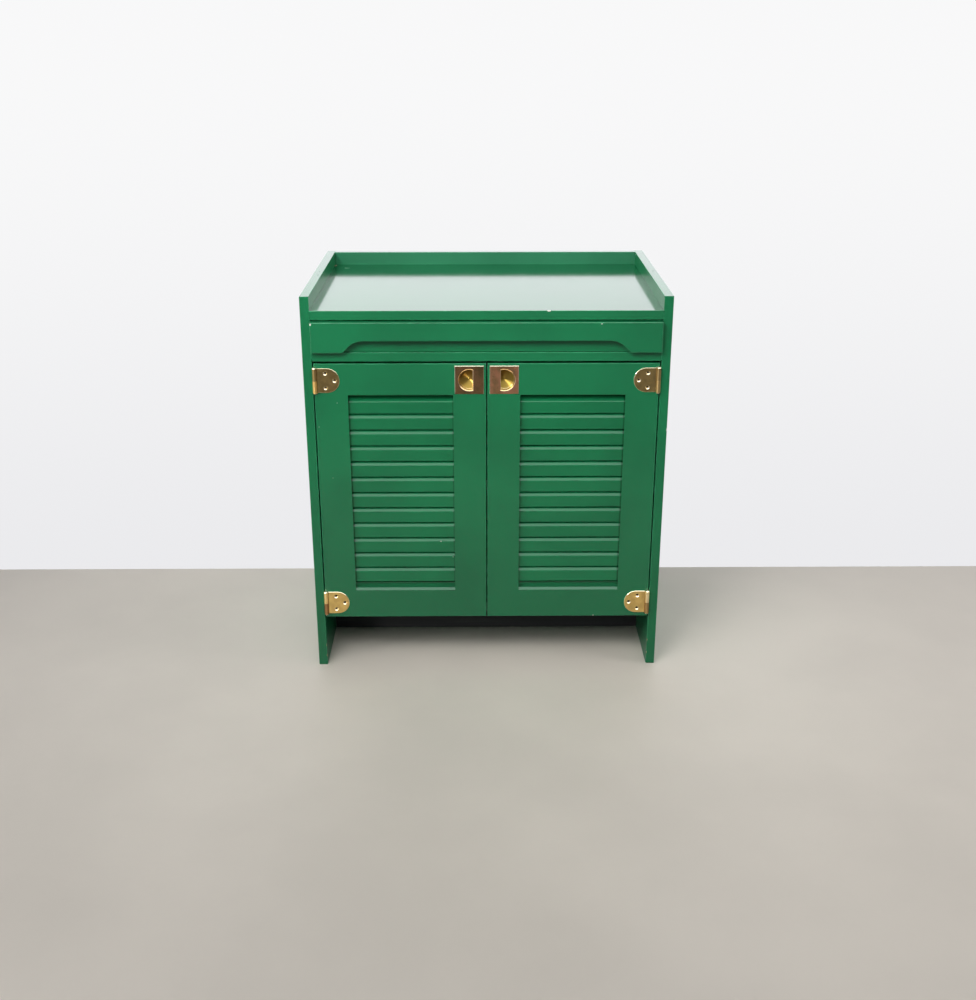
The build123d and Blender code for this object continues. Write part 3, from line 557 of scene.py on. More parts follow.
@dataclass(frozen=True)
class BareWood:
    """Unpainted wood with a grain drawn out along one axis."""

    name: str
    grain: Grain
    early: Colour = (0.61, 0.42, 0.24)
    late: Colour = (0.42, 0.25, 0.125)
    roughness: float = 0.55
    ring_scale: float = 60.0
    ring_span: Span = (0.38, 0.66)
    late_share: float = 0.55
    pore_scale: float = 900.0
    pore_span: Span = (0.35, 0.6)
    pore_share: float = 0.25
    pore_depth: float = 0.00005

    def material(self) -> bpy.types.Material:
        """Builds the wood.

        Returns:
            The material.
        """
        recipe = Recipe(bpy.data.materials.new(self.name))
        along = recipe.drawn(self.grain.value)
        rings = recipe.span(recipe.noise(self.ring_scale, Detail.BUSY, along), *self.ring_span)
        pores = recipe.span(recipe.noise(self.pore_scale, Detail.SOFT, along), *self.pore_span)
        colour = recipe.blend(recipe.sum("MULTIPLY", rings, self.late_share), self.early, self.late)
        colour = recipe.blend(recipe.span(pores, 0.0, 1.0, self.pore_share, 0.0), colour, self.late)
        normal = recipe.relief(pores, self.pore_depth)
        return recipe.finish(Base_Color=colour, Roughness=self.roughness, Normal=normal)


@dataclass(frozen=True)
class Stain:
    """Near-black stain on a board that is never seen into."""

    name: str
    colour: Colour = (0.007, 0.0095, 0.009)
    worn: Colour = (0.02, 0.024, 0.021)
    roughness: float = 0.6
    shine: float = 0.3
    grain_scale: float = 90.0
    grain_depth: float = 0.00006
    worn_span: Span = (0.45, 0.75)

    def material(self) -> bpy.types.Material:
        """Builds the stain.

        Returns:
            The material.
        """
        recipe = Recipe(bpy.data.materials.new(self.name))
        grain = recipe.noise(self.grain_scale, Detail.COARSE, recipe.drawn(Grain.ACROSS.value))
        colour = recipe.blend(recipe.span(grain, *self.worn_span), self.colour, self.worn)
        normal = recipe.relief(grain, self.grain_depth)
        return recipe.finish(
            Base_Color=colour, Roughness=self.roughness, Normal=normal, Specular_IOR_Level=self.shine
        )


@dataclass(frozen=True)
class Steel:
    """Zinc-plated steel with faint spangle."""

    name: str
    colour: Colour = (0.6, 0.6, 0.58)
    dull: Colour = (0.34, 0.33, 0.31)
    roughness: float = 0.35
    spangle_scale: float = 260.0
    spangle_span: Span = (0.35, 0.7)
    dull_factors: Span = (0.8, 1.3)

    def material(self) -> bpy.types.Material:
        """Builds the steel.

        Returns:
            The material.
        """
        recipe = Recipe(bpy.data.materials.new(self.name))
        spangle = recipe.span(recipe.noise(self.spangle_scale, Detail.MIXED), *self.spangle_span)
        colour = recipe.blend(spangle, self.colour, self.dull)
        rough = recipe.span(spangle, 0.0, 1.0, *scaled(self.roughness, self.dull_factors))
        return recipe.finish(Base_Color=colour, Roughness=rough, Metallic=1.0)


@dataclass(frozen=True)
class Moulding:
    """Brown moulded plastic with a fine spark-eroded texture."""

    name: str
    colour: Colour = (0.13, 0.06, 0.028)
    worn: Colour = (0.2, 0.1, 0.05)
    roughness: float = 0.45
    cloud_scale: float = 125.0
    cloud_span: Span = (0.4, 0.7)
    texture_scale: float = 2500.0
    texture_depth: float = 0.00002

    def material(self) -> bpy.types.Material:
        """Builds the plastic.

        Returns:
            The material.
        """
        recipe = Recipe(bpy.data.materials.new(self.name))
        grit = recipe.noise(self.texture_scale, Detail.SOFT)
        clouds = recipe.span(recipe.noise(self.cloud_scale, Detail.MIXED), *self.cloud_span)
        colour = recipe.blend(clouds, self.colour, self.worn)
        normal = recipe.relief(grit, self.texture_depth)
        return recipe.finish(Base_Color=colour, Roughness=self.roughness, Normal=normal)


# ---------------------------------------------------------------- shared handwork


def dress(node: str, material: bpy.types.Material) -> None:
    """Gives a CAD node its material.

    Args:
        node: The node's name.
        material: What it is made of.
    """
    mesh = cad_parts[node].data
    mesh.materials.clear()
    mesh.materials.append(material)
    log.info("dressed %s in %s", node, material.name)


def edges_of(*nodes: str, spare: Point = (0.0, 0.0, 0.0)) -> Box:
    """The box round some nodes, whose edges stand free.

    Args:
        nodes: The nodes.
        spare: How far the box runs on, each way, where the nodes' own ends are joined to others.

    Returns:
        The box's lowest and highest corners.
    """
    lows, highs = zip(*(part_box(node) for node in nodes))
    low = tuple(min(parts) - more for parts, more in zip(zip(*lows), spare))
    high = tuple(max(parts) + more for parts, more in zip(zip(*highs), spare))
    return low, high


def deselect() -> None:
    """Leaves nothing selected."""
    bpy.ops.object.select_all(action="DESELECT")


def settle(piece: bpy.types.Object, name: str, material: bpy.types.Material, body: str) -> None:
    """Brings a finished piece to the origin with its place in its mesh, dresses it and lets it ride.

    Args:
        piece: The modelled piece, which is selected and active.
        name: Its name.
        material: What it is made of.
        body: The moving body that it belongs to.
    """
    bpy.ops.object.transform_apply(location=True, rotation=True, scale=True)
    piece.name = name
    piece.data.name = name
    piece.data.materials.clear()
    piece.data.materials.append(material)
    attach(piece, body)
    log.info("made %s: %d faces", name, len(piece.data.polygons))


def turn_rings(
    profile: list[tuple[float, float]], seat: Vector, facets: int, filled: bool, upright: bool = False
) -> bpy.types.Object:
    """Models a turned form ring by ring, and leaves it in edit mode with its last ring selected.

    Args:
        profile: The rings' radii, each with how far it lies along the axis.
        seat: Where the axis starts.
        facets: How many sides a ring has.
        filled: Whether the first ring is closed by a face, which every next ring then carries on.
        upright: Whether the axis runs along Z; otherwise it runs along Y.

    Returns:
        The piece.
    """
    deselect()
    along = Vector((0.0, 0.0, 1.0)) if upright else Vector((0.0, 1.0, 0.0))
    turn = (0.0, 0.0, 0.0) if upright else (math.pi / 2, 0.0, 0.0)
    start = seat + along * profile[0][1]
    cover = "NGON" if filled else "NOTHING"
    bpy.ops.mesh.primitive_circle_add(
        vertices=facets, radius=profile[0][0], fill_type=cover, location=start, rotation=turn
    )
    bpy.ops.object.mode_set(mode="EDIT")
    bpy.ops.mesh.select_all(action="SELECT")
    for (radius, place), (next_radius, next_place) in zip(profile, profile[1:]):
        step = tuple(along * (next_place - place))
        bpy.ops.mesh.extrude_region_move(TRANSFORM_OT_translate={"value": step})
        share = next_radius / radius
        factors = (share, share, 1.0) if upright else (share, 1.0, share)
        bpy.ops.transform.resize(value=factors, center_override=seat)
    return bpy.context.object


def close_form(sharp_above: float) -> None:
    """Points a closed form's faces outwards, leaves edit mode and smooths all but its sharp edges.

    Args:
        sharp_above: The angle, in degrees, above which an edge stays sharp.
    """
    bpy.ops.mesh.select_all(action="SELECT")
    bpy.ops.mesh.normals_make_consistent(inside=False)
    bpy.ops.object.mode_set(mode="OBJECT")
    bpy.ops.object.shade_smooth_by_angle(angle=math.radians(sharp_above))


def give_wall(piece: bpy.types.Object, thickness: float) -> None:
    """Thickens an open shell on the side that its faces look away from.

    Args:
        piece: The active piece, in object mode.
        thickness: How thick its wall is.
    """
    bpy.ops.object.modifier_add(type="SOLIDIFY")
    shell = piece.modifiers[-1]
    shell.thickness = thickness
    shell.offset = -1.0
    bpy.ops.object.modifier_apply(modifier=shell.name)


def face_front(piece: bpy.types.Object) -> None:
    """Turns an open shell's faces over if its deepest one looks away from the front.

    Args:
        piece: The active piece, in object mode.
    """
    deepest = max(piece.data.polygons, key=lambda face: face.center.y)
    if deepest.normal.y > 0.0:
        bpy.ops.object.mode_set(mode="EDIT")
        bpy.ops.mesh.select_all(action="SELECT")
        bpy.ops.mesh.flip_normals()
        bpy.ops.object.mode_set(mode="OBJECT")


# ---------------------------------------------------------------- sub-assemblies


@dataclass
class Carcass:
    """The sides, boards, back and inner fittings."""

    pole_width: float = 26.0 * MM
    pole_height: float = 1.8 * MM
    pole_spacing: float = 5.2 * MM
    pole_proud: float = 0.15 * MM
    pole_sink: float = 2.0 * MM
    pole_round: float = 0.25 * MM
    catch_width: float = 34.0 * MM
    housed: Point = (0.05, 0.0, 0.0)

    def dress(self) -> None:
        """Gives every fixed board and fitting its finish."""
        for node in ("divider_panel", "bottom_panel", "cupboard_shelf"):
            dress(node, Lacquer(f"lacquer_{node}").material(edges_of(node, spare=self.housed)))
        # The gallery rail's green is a little paler and greyer than the other boards'.
        greyer_green = Lacquer("lacquer_gallery_rail", colour=(0.034, 0.196, 0.1), shade=(0.03, 0.174, 0.088))
        dress("gallery_rail", greyer_green.material(edges_of("gallery_rail", spare=self.housed)))
        dress("plinth_board", Stain("plinth_stain").material())
        top_marks = (
            Mark((0.1249, -0.2490, 0.8030), 0.0024, stretch=(0.55, 1.0, 1.0)),
            Mark((-0.3240, 0.2012, 0.8030), 0.0011, (0.45, 0.6, 0.5), (0.16, 1.0, 1.0)),
            Mark((-0.3560, 0.2330, 0.8030), 0.0060, (0.16, 0.17, 0.1), (1.0, 0.5, 1.0)),
        )
        tray = Lacquer("lacquer_tray", marks=top_marks)
        dress("top_panel", tray.material(edges_of("top_panel", spare=self.housed)))
        left = (
            Mark((-0.3560, -0.2495, 0.0500), 0.0012, SCRAPED_FOOT, (1.0, 1.0, 0.3)),
            Mark((-0.3560, -0.2495, 0.0240), 0.0012, SCRAPED_FOOT, (1.0, 1.0, 0.3)),
            Mark((-0.3628, -0.0297, 0.8320), 0.0016, NICK, (1.0, 0.4, 1.0)),
            Mark((-0.3640, 0.0100, 0.8320), 0.0011, NICK, (1.0, 0.3, 1.0)),
        )
        right = (
            Mark((0.3560, -0.2495, 0.0590), 0.0012, SCUFFED_FOOT, (1.0, 1.0, 0.25)),
            Mark((0.3560, -0.2495, 0.0290), 0.0012, SCUFFED_FOOT, (1.0, 1.0, 0.4)),
            Mark((0.3667, 0.0100, 0.8320), 0.0015, NICK, (1.0, 0.4, 1.0)),
            Mark((0.3750, -0.2490, 0.5507), 0.0018, stretch=(1.0, 1.0, 0.45)),
        )
        for node, marks in (("side_panel_left", left), ("side_panel_right", right)):
            worn = Lacquer(f"lacquer_{node}", marks=marks, roughness=0.17, side_haze=0.15, shine=0.38)
            dress(node, worn.material(edges_of(node)))
        dress("back_panel", BareWood("birch_back", Grain.UPRIGHT, *BIRCH).material())
        beech = BareWood("beech_deep", Grain.DEEP).material()
        for node in ("drawer_runner_left", "drawer_runner_right", "carcass_dowels", "drawer_stops"):
            dress(node, beech)
        steel = Steel("zinc_fixings").material()
        for node in ("shelf_pins", "back_panel_screws", "runner_screws", "catch_screws"):
            dress(node, steel)
        dress("magnetic_catches", Moulding("catch_moulding").material())

    def add_catch_poles(self) -> None:
        """Sets the two steel pole plates of the magnet into each catch's face."""
        low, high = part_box("magnetic_catches")
        finish = Steel("catch_pole_steel", (0.5, 0.49, 0.47), (0.2, 0.19, 0.18)).material()
        middle_z = (low[2] + high[2]) / 2
        depth = self.pole_proud + self.pole_sink
        for side in Side:
            deselect()
            centre_x = side.value * (high[0] - self.catch_width / 2)
            size = (self.pole_width, depth, self.pole_height)
            centre_y = low[1] + (self.pole_sink - self.pole_proud) / 2
            start = (centre_x, centre_y, middle_z + self.pole_spacing / 2)
            bpy.ops.mesh.primitive_cube_add(size=1.0, location=start, scale=size)
            bpy.ops.object.transform_apply(location=False, rotation=False, scale=True)
            upper = bpy.context.object
            bpy.ops.object.mode_set(mode="EDIT")
            bpy.ops.mesh.select_all(action="SELECT")
            bpy.ops.mesh.bevel(offset=self.pole_round, segments=2)
            bpy.ops.object.mode_set(mode="OBJECT")
            down = (0.0, 0.0, -self.pole_spacing)
            bpy.ops.object.duplicate_move(TRANSFORM_OT_translate={"value": down})
            upper.select_set(True)
            bpy.context.view_layer.objects.active = upper
            bpy.ops.object.join()
            settle(upper, f"{side.label}_catch_poles", finish, "carcass")


@dataclass
class Drawer:
    """The sliding drawer: lacquered front and a bare box."""

    def dress(self) -> None:
        """Gives the drawer's boards their finishes."""
        marks = (
            Mark((-0.3535, -0.2640, 0.7785), 0.0026),
            Mark((0.2306, -0.2635, 0.7790), 0.0017, stretch=(0.7, 1.0, 1.0)),
        )
        dress("drawer_front", Lacquer("lacquer_drawer", marks=marks).material(edges_of("drawer_front")))
        dress("drawer_box_front", Lacquer("lacquer_box_front").material())
        beech = BareWood("beech_box", Grain.DEEP).material()
        dress("drawer_side_left", beech)
        dress("drawer_side_right", beech)
        dress("drawer_back", BareWood("beech_back", Grain.ACROSS).material())
        birch = BareWood("birch_bottom", Grain.ACROSS, *BIRCH)
        dress("drawer_bottom", birch.material())
        dress("drawer_front_screws", Steel("zinc_front_screws").material())


@dataclass
class FlushPull:
    """One square brass pull: plate, turned dish and the collar of its opening."""

    side: Side
    lip: float = 9.0 * MM
    cup_wall: float = 1.0 * MM
    dish_wall: float = 0.6 * MM
    dish_draft: float = 3.2 * MM
    floor_fillet: float = 2.2 * MM
    rim_depth: float = 7.0 * MM
    centre_depth: float = 10.3 * MM
    pip_radius: float = 0.9 * MM
    collar_lap: float = 0.4 * MM
    collar_flat: float = 1.2 * MM
    collar_bevel: float = 1.0 * MM
    collar_depth: float = 0.9 * MM
    collar_proud: float = 0.08 * MM
    collar_wall: float = 0.4 * MM
    facets: int = 96
    fillet_steps: int = 5
    cone_rings: tuple[Span, ...] = ((0.75, 0.36), (0.5, 0.66), (0.25, 0.88))
    pip_rings: tuple[Span, ...] = ((1.5, 0.0), (1.0, 0.3), (0.3, 0.5))
    weld_reach: float = 0.01 * MM
    dish_sharp_above: float = 40.0
    left_ray: Point = (0.3, 0.0, -0.95)
    right_ray: Point = (0.6, 0.0, -0.8)
    right_dish_colour: Colour = (0.37, 0.255, 0.055)
    # Pale edge tones: partly worn, partly a painted highlight.
    worn_plate_edge: Colour = (0.74, 0.71, 0.53)
    worn_collar_edge: Colour = (0.86, 0.62, 0.36)

    @property
    def plate(self) -> str:
        """The plate's node."""
        return f"{self.side.label}_door_pull_plate"

    @property
    def cup(self) -> str:
        """The cup's node."""
        return f"{self.side.label}_door_pull_cup"

    @property
    def seat(self) -> Vector:
        """The dish's centre on the door's face."""
        low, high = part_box(self.plate)
        return Vector(((low[0] + high[0]) / 2, high[1], (low[2] + high[2]) / 2))

    @property
    def plate_thickness(self) -> float:
        """How far the plate's face stands off the door."""
        low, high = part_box(self.plate)
        return high[1] - low[1]

    @property
    def radius(self) -> float:
        """The dish's radius at its mouth, from the cup that it lines."""
        low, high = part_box(self.cup)
        return (high[0] - low[0]) / 2 - self.cup_wall

    def profile(self) -> list[tuple[float, float]]:
        """The dish's inner side as radius and depth, from the mouth to the pip in its middle."""
        corner = self.radius - self.dish_draft - self.floor_fillet
        top = self.rim_depth - self.floor_fillet
        points = [(self.radius, 0.0)]
        for step in range(self.fillet_steps + 1):
            turn = math.pi / 2 * step / self.fillet_steps
            radius = corner + self.floor_fillet * math.cos(turn)
            points.append((radius, top + self.floor_fillet * math.sin(turn)))
        fall = self.centre_depth - self.rim_depth
        for reach, drop in self.cone_rings:
            points.append((corner * reach, self.rim_depth + fall * drop))
        for reach, rise in self.pip_rings:
            points.append((self.pip_radius * reach, self.centre_depth - self.pip_radius * rise))
        return points

    def add_dish(self) -> None:
        """Presses the dish ring by ring, gives it its wall and lets it stand for the plain cup."""
        dish = turn_rings(self.profile(), self.seat, self.facets, filled=False)
        bpy.ops.mesh.merge(type="CENTER")
        bpy.ops.mesh.select_all(action="SELECT")
        bpy.ops.mesh.remove_doubles(threshold=self.weld_reach)
        bpy.ops.mesh.normals_make_consistent(inside=True)
        bpy.ops.object.mode_set(mode="OBJECT")
        face_front(dish)
        give_wall(dish, self.dish_wall)
        bpy.ops.object.shade_smooth_by_angle(angle=math.radians(self.dish_sharp_above))
        name = f"brass_{self.side.label}_dish"
        centre = tuple(self.seat)
        if self.side is Side.LEFT:
            finish = TurnedBrass(name, centre, self.left_ray)
        else:
            finish = TurnedBrass(
                name, centre, self.right_ray, self.right_dish_colour, roughness=0.5, anisotropy=0.9
            )
        settle(dish, f"{self.side.label}_pull_dish", finish.material(), f"{self.side.label}_door")
        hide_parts(self.cup)

    def add_collar(self) -> None:
        """Bevels the edge of the D-shaped opening down into the dish."""
        deselect()
        face = self.seat - Vector((0.0, self.plate_thickness + self.collar_proud, 0.0))
        reach = self.radius + self.collar_lap
        turn = (math.pi / 2, 0.0, 0.0)
        bpy.ops.mesh.primitive_circle_add(
            vertices=self.facets, radius=reach, fill_type="NGON", location=face, rotation=turn
        )
        collar = bpy.context.object
        inward = -self.side.value
        lip_x = face[0] + inward * (self.lip + self.collar_lap)
        bpy.ops.object.mode_set(mode="EDIT")
        bpy.ops.mesh.select_all(action="SELECT")
        cut = (lip_x, face[1], face[2])
        bpy.ops.mesh.bisect(plane_co=cut, plane_no=(inward, 0.0, 0.0), clear_outer=True, clear_inner=False)
        bpy.ops.mesh.select_all(action="SELECT")
        bpy.ops.mesh.inset(thickness=self.collar_flat, depth=0.0)
        bpy.ops.mesh.inset(thickness=self.collar_bevel, depth=0.0)
        bpy.ops.transform.translate(value=(0.0, self.collar_depth, 0.0))
        bpy.ops.mesh.delete(type="FACE")
        bpy.ops.object.mode_set(mode="OBJECT")
        give_wall(collar, self.collar_wall)
        finish = self.tarnished(f"brass_{self.side.label}_collar", self.worn_collar_edge)
        name = f"{self.side.label}_pull_collar"
        settle(collar, name, finish.material(), f"{self.side.label}_door")

    def tarnished(self, name: str, bare: Colour) -> Brass:
        """The plate's brass: tarnish, and on the left plate darker tones as painted shade of the dim room
        it reflects.

        Args:
            name: The material's name.
            bare: The colour of its paler edges, partly worn and partly a painted highlight.

        Returns:
            The finish.
        """
        # The left plate's tones are darker than the right's: partly tarnish, partly painted shade where it
        # reflects a dim part of the room.
        tones = {
            Side.LEFT: ((0.42, 0.23, 0.105), (0.17, 0.14, 0.05)),
            Side.RIGHT: ((0.85, 0.41, 0.22), (0.48, 0.29, 0.125)),
        }
        colour, patina = tones[self.side]
        return Brass(
            name, colour, patina, bare, patina_share=0.85, bare_share=0.95, roughness=0.19, cloud_scale=42.0
        )

    def dress(self) -> None:
        """Gives the plate its tarnish, with paler edges that are partly worn through and partly a painted
        highlight.
        """
        finish = self.tarnished(f"brass_{self.side.label}_pull", self.worn_plate_edge)
        dress(self.plate, finish.material())


@dataclass
class LouvredDoor:
    """One door: frame, slats, dowels, screws and strike plate."""

    side: Side
    hinge_screw_length: float = 16.0 * MM
    strike_screw_length: float = 9.0 * MM

    def node(self, piece: str) -> str:
        """The full name of one of this door's nodes."""
        return f"{self.side.label}_door_{piece}"

    @property
    def marks(self) -> tuple[Mark, ...]:
        """The marks of use on this door's frame and slats."""
        if self.side is Side.RIGHT:
            return (Mark((0.2346, -0.2490, 0.1215), 0.0014, (0.5, 0.55, 0.45)),)
        return (
            Mark((-0.0988, -0.2405, 0.2968), 0.0012, stretch=(1.0, 1.0, 0.6)),
            Mark((-0.2186, -0.2405, 0.2641), 0.0010, stretch=(1.0, 1.0, 0.6)),
            Mark((-0.0733, -0.2405, 0.2589), 0.0012, (0.35, 0.4, 0.3)),
            Mark((-0.3084, -0.2495, 0.6108), 0.0009, (0.2, 0.4, 0.3)),
            Mark((-0.3242, -0.2495, 0.4460), 0.0009, (0.2, 0.4, 0.3)),
            Mark((-0.3480, -0.2495, 0.5590), 0.0012, (0.25, 0.42, 0.3)),
        )

    def dress(self) -> None:
        """Gives the door's wood and hardware their finishes."""
        label = self.side.label
        pieces = ("hinge_stile", "meeting_stile", "top_rail", "bottom_rail")
        frame_nodes = [self.node(piece) for piece in pieces]
        lacquer = Lacquer(f"lacquer_{label}_door", marks=self.marks).material(edges_of(*frame_nodes))
        for node in frame_nodes:
            dress(node, lacquer)
        low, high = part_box(self.node("top_rail"))
        ends = (low[0], high[0])
        # The slats get painted shade along both ends, beside the stiles.
        slats = Lacquer(f"lacquer_{label}_slats", marks=self.marks, soiled=0.0, shine=0.38, crevices=ends)
        dress(self.node("slats"), slats.material())
        dress(self.node("dowels"), BareWood(f"beech_{label}_dowels", Grain.ACROSS).material())
        dress(self.node("strike_plate"), Steel(f"zinc_{label}_strike").material())

    def add_screws(self, hinges: list["ButtHinge"]) -> None:
        """Turns the door's screws, three in each hinge leaf and one in the strike plate.

        Args:
            hinges: The door's hinges.
        """
        screw = DishedScrew()
        face_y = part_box(self.node("hinge_stile"))[0][1] - hinges[0].leaf_thickness
        seats = [seat for hinge in hinges for seat in hinge.screw_seats(face_y)]
        group = [screw.model(seats[0], self.hinge_screw_length)]
        for last, seat in zip(seats, seats[1:]):
            bpy.ops.object.duplicate_move(TRANSFORM_OT_translate={"value": tuple(seat - last)})
            group.append(bpy.context.object)
        low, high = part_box(self.node("strike_plate"))
        strike = Vector(((low[0] + high[0]) / 2, high[1], (low[2] + high[2]) / 2))
        group.append(screw.model(strike, -self.strike_screw_length))
        deselect()
        for piece in group:
            piece.select_set(True)
        bpy.ops.object.join()
        # The screws' recesses get painted shade.
        recess = seats[0].y + screw.dish_depth
        finish = Brass(
            f"brass_{self.side.label}_screws",
            (0.95, 0.8, 0.5),
            (0.5, 0.34, 0.15),
            patina_share=0.3,
            roughness=0.2,
            grimed=(recess - screw.grime_rise, recess + screw.grime_run),
        )
        name = f"{self.side.label}_dished_screws"
        settle(bpy.context.object, name, finish.material(), f"{self.side.label}_door")
        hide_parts(self.node("screws"))


@dataclass
class DishedScrew:
    """A countersunk screw whose head is turned hollow down to its driving recess."""

    shank_radius: float = 1.75 * MM
    head_radius: float = 3.6 * MM
    head_height: float = 1.8 * MM
    land: float = 0.2 * MM
    dish_depth: float = 1.0 * MM
    recess_radius: float = 2.3 * MM
    recess_depth: float = 1.6 * MM
    recess_taper: float = 0.85
    grime_rise: float = 0.1 * MM
    grime_run: float = 3.2 * MM
    tip_radius: float = 0.4 * MM
    tip_length: float = 3.0 * MM
    sharp_above: float = 30.0
    facets: int = 32

    def model(self, head: Vector, length: float) -> bpy.types.Object:
        """Turns one screw from its tip to its recess.

        Args:
            head: The head's middle.
            length: How far the screw runs into the wood along Y; below 0 it runs towards the front.

        Returns:
            The screw, selected and active.
        """
        way = math.copysign(1.0, length)
        profile = [
            (self.tip_radius, length),
            (self.shank_radius, length - way * self.tip_length),
            (self.shank_radius, way * self.head_height),
            (self.head_radius, 0.0),
            (self.head_radius - self.land, 0.0),
            (self.recess_radius, way * self.dish_depth),
            (self.recess_radius * self.recess_taper, way * (self.dish_depth + self.recess_depth)),
        ]
        screw = turn_rings(profile, head, self.facets, filled=True)
        close_form(self.sharp_above)
        return screw


@dataclass
class ButtHinge:
    """One brass hinge: door leaf, frame leaf, pin with its domed ends and dished screws."""

    side: Side
    level: Level
    leaf_thickness: float = 2.0 * MM
    screw_near: float = 21.5 * MM
    screw_far: float = 40.2 * MM
    screw_spread: float = 15.3 * MM
    screw_sink: float = 0.6 * MM
    knuckle_gap: float = 1.0 * MM
    dome_radius: float = 4.3 * MM
    dome_height: float = 2.0 * MM
    dome_steps: int = 6
    sharp_above: float = 35.0
    facets: int = 40

    @property
    def knuckle_tones(self) -> tuple[Colour, Colour]:
        """The door knuckle's and the frame knuckle's colour for this hinge: partly polish, partly painted
        light, lighter or darker as each reflects the room.
        """
        return {
            (Side.LEFT, Level.UPPER): ((0.4, 0.27, 0.1), (0.98, 0.62, 0.2)),
            (Side.RIGHT, Level.UPPER): ((0.42, 0.29, 0.12), (0.55, 0.38, 0.16)),
            (Side.LEFT, Level.LOWER): ((0.4, 0.2, 0.08), (0.98, 0.7, 0.28)),
            (Side.RIGHT, Level.LOWER): ((0.42, 0.26, 0.1), (0.98, 0.78, 0.42)),
        }[self.side, self.level]

    @property
    def leaf_tones(self) -> tuple[Colour, Colour]:
        """The leaf's colour and its patina, darker on the upper hinges as painted shade, for the dimmer
        room that they reflect.
        """
        if self.level is Level.UPPER:
            return (0.6, 0.415, 0.155), (0.37, 0.25, 0.088)
        return (0.9, 0.61, 0.2), (0.62, 0.4, 0.13)

    @property
    def name(self) -> str:
        """The hinge's name as the nodes spell it."""
        return f"{self.level.value}_{self.side.label}"

    @property
    def leaf(self) -> str:
        """The door leaf's node."""
        return f"{self.side.label}_door_{self.level.value}_hinge_leaf"

    @property
    def barrel(self) -> tuple[Vector, Vector]:
        """The lower and upper end of the barrel's axis."""
        low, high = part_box(f"{self.name}_hinge_pin")
        x, y = (low[0] + high[0]) / 2, (low[1] + high[1]) / 2
        return Vector((x, y, low[2])), Vector((x, y, high[2]))

    def screw_seats(self, face_y: float) -> list[Vector]:
        """The middles of the three screw heads in the door leaf.

        Args:
            face_y: Where the leaf's face lies.

        Returns:
            The heads' middles.
        """
        low, high = self.barrel
        middle = (low + high) / 2
        inward = -self.side.value
        near, spread_z = self.screw_near, self.screw_spread
        offsets = ((near, spread_z), (near, -spread_z), (self.screw_far, 0.0))
        y = face_y + self.screw_sink
        return [Vector((middle.x + inward * along, y, middle.z + up)) for along, up in offsets]

    def dress(self) -> None:
        """Gives both leaves and the pin their finishes."""
        reach = abs(self.barrel[0].x) - self.dome_radius - self.knuckle_gap
        # The leaf and knuckle tones carry painted light for how each hinge reflects the room, besides
        # polish and patina; the leaf's pale edges are partly a painted highlight.
        door_tone, frame_tone = self.knuckle_tones
        leaf = Brass(
            f"brass_leaf_{self.name}", *self.leaf_tones, bare_share=1.0, bare_within=reach, barrel=door_tone
        )
        dress(self.leaf, leaf.material())
        knuckle = Brass(f"brass_knuckle_{self.name}", frame_tone, patina_share=0.3, roughness=0.36)
        polished_and_lit = knuckle.material()
        dress(f"{self.name}_frame_hinge_leaf", polished_and_lit)
        dress(f"{self.name}_hinge_pin", polished_and_lit)

    def add_pin_ends(self) -> None:
        """Rivets the pin's ends over into a low dome above and below the barrel."""
        # The pin ends are pale brass: partly polish, partly a painted highlight.
        finish = Brass(f"brass_pin_ends_{self.name}", (0.98, 0.88, 0.64), patina_share=0.1, roughness=0.45)
        polished_and_lit = finish.material()
        for end, way, label in zip(self.barrel, (-1.0, 1.0), ("lower", "upper")):
            profile = []
            for step in range(self.dome_steps):
                turn = math.pi / 2 * step / self.dome_steps
                profile.append((self.dome_radius * math.cos(turn), way * self.dome_height * math.sin(turn)))
            dome = turn_rings(profile, end, self.facets, filled=True, upright=True)
            close_form(self.sharp_above)
            settle(dome, f"{self.name}_pin_{label}_end", polished_and_lit, "carcass")


# ---------------------------------------------------------------- studio


@dataclass(frozen=True)
class SoftBox:
    """A rectangular lamp: where it hangs, what it faces, its size, power and beam."""

    name: str
    place: Point
    aim: Point
    size: tuple[float, float]
    power: float
    beam: float = math.pi
    glint: bool = False
    soft: bool = False

    def hang(self) -> None:
        """Hangs the lamp; a glint lamp shows in gloss alone, and a soft one doesn't show in it."""
        data = bpy.data.lights.new(self.name, "AREA")
        data.shape = "RECTANGLE"
        data.size, data.size_y = self.size
        data.energy = self.power
        data.spread = self.beam
        lamp = bpy.data.objects.new(self.name, data)
        bpy.context.scene.collection.objects.link(lamp)
        lamp.location = self.place
        lamp.rotation_euler = (Vector(self.aim) - Vector(self.place)).to_track_quat("-Z", "Y").to_euler()
        lamp.visible_diffuse = not self.glint
        lamp.visible_glossy = not self.soft


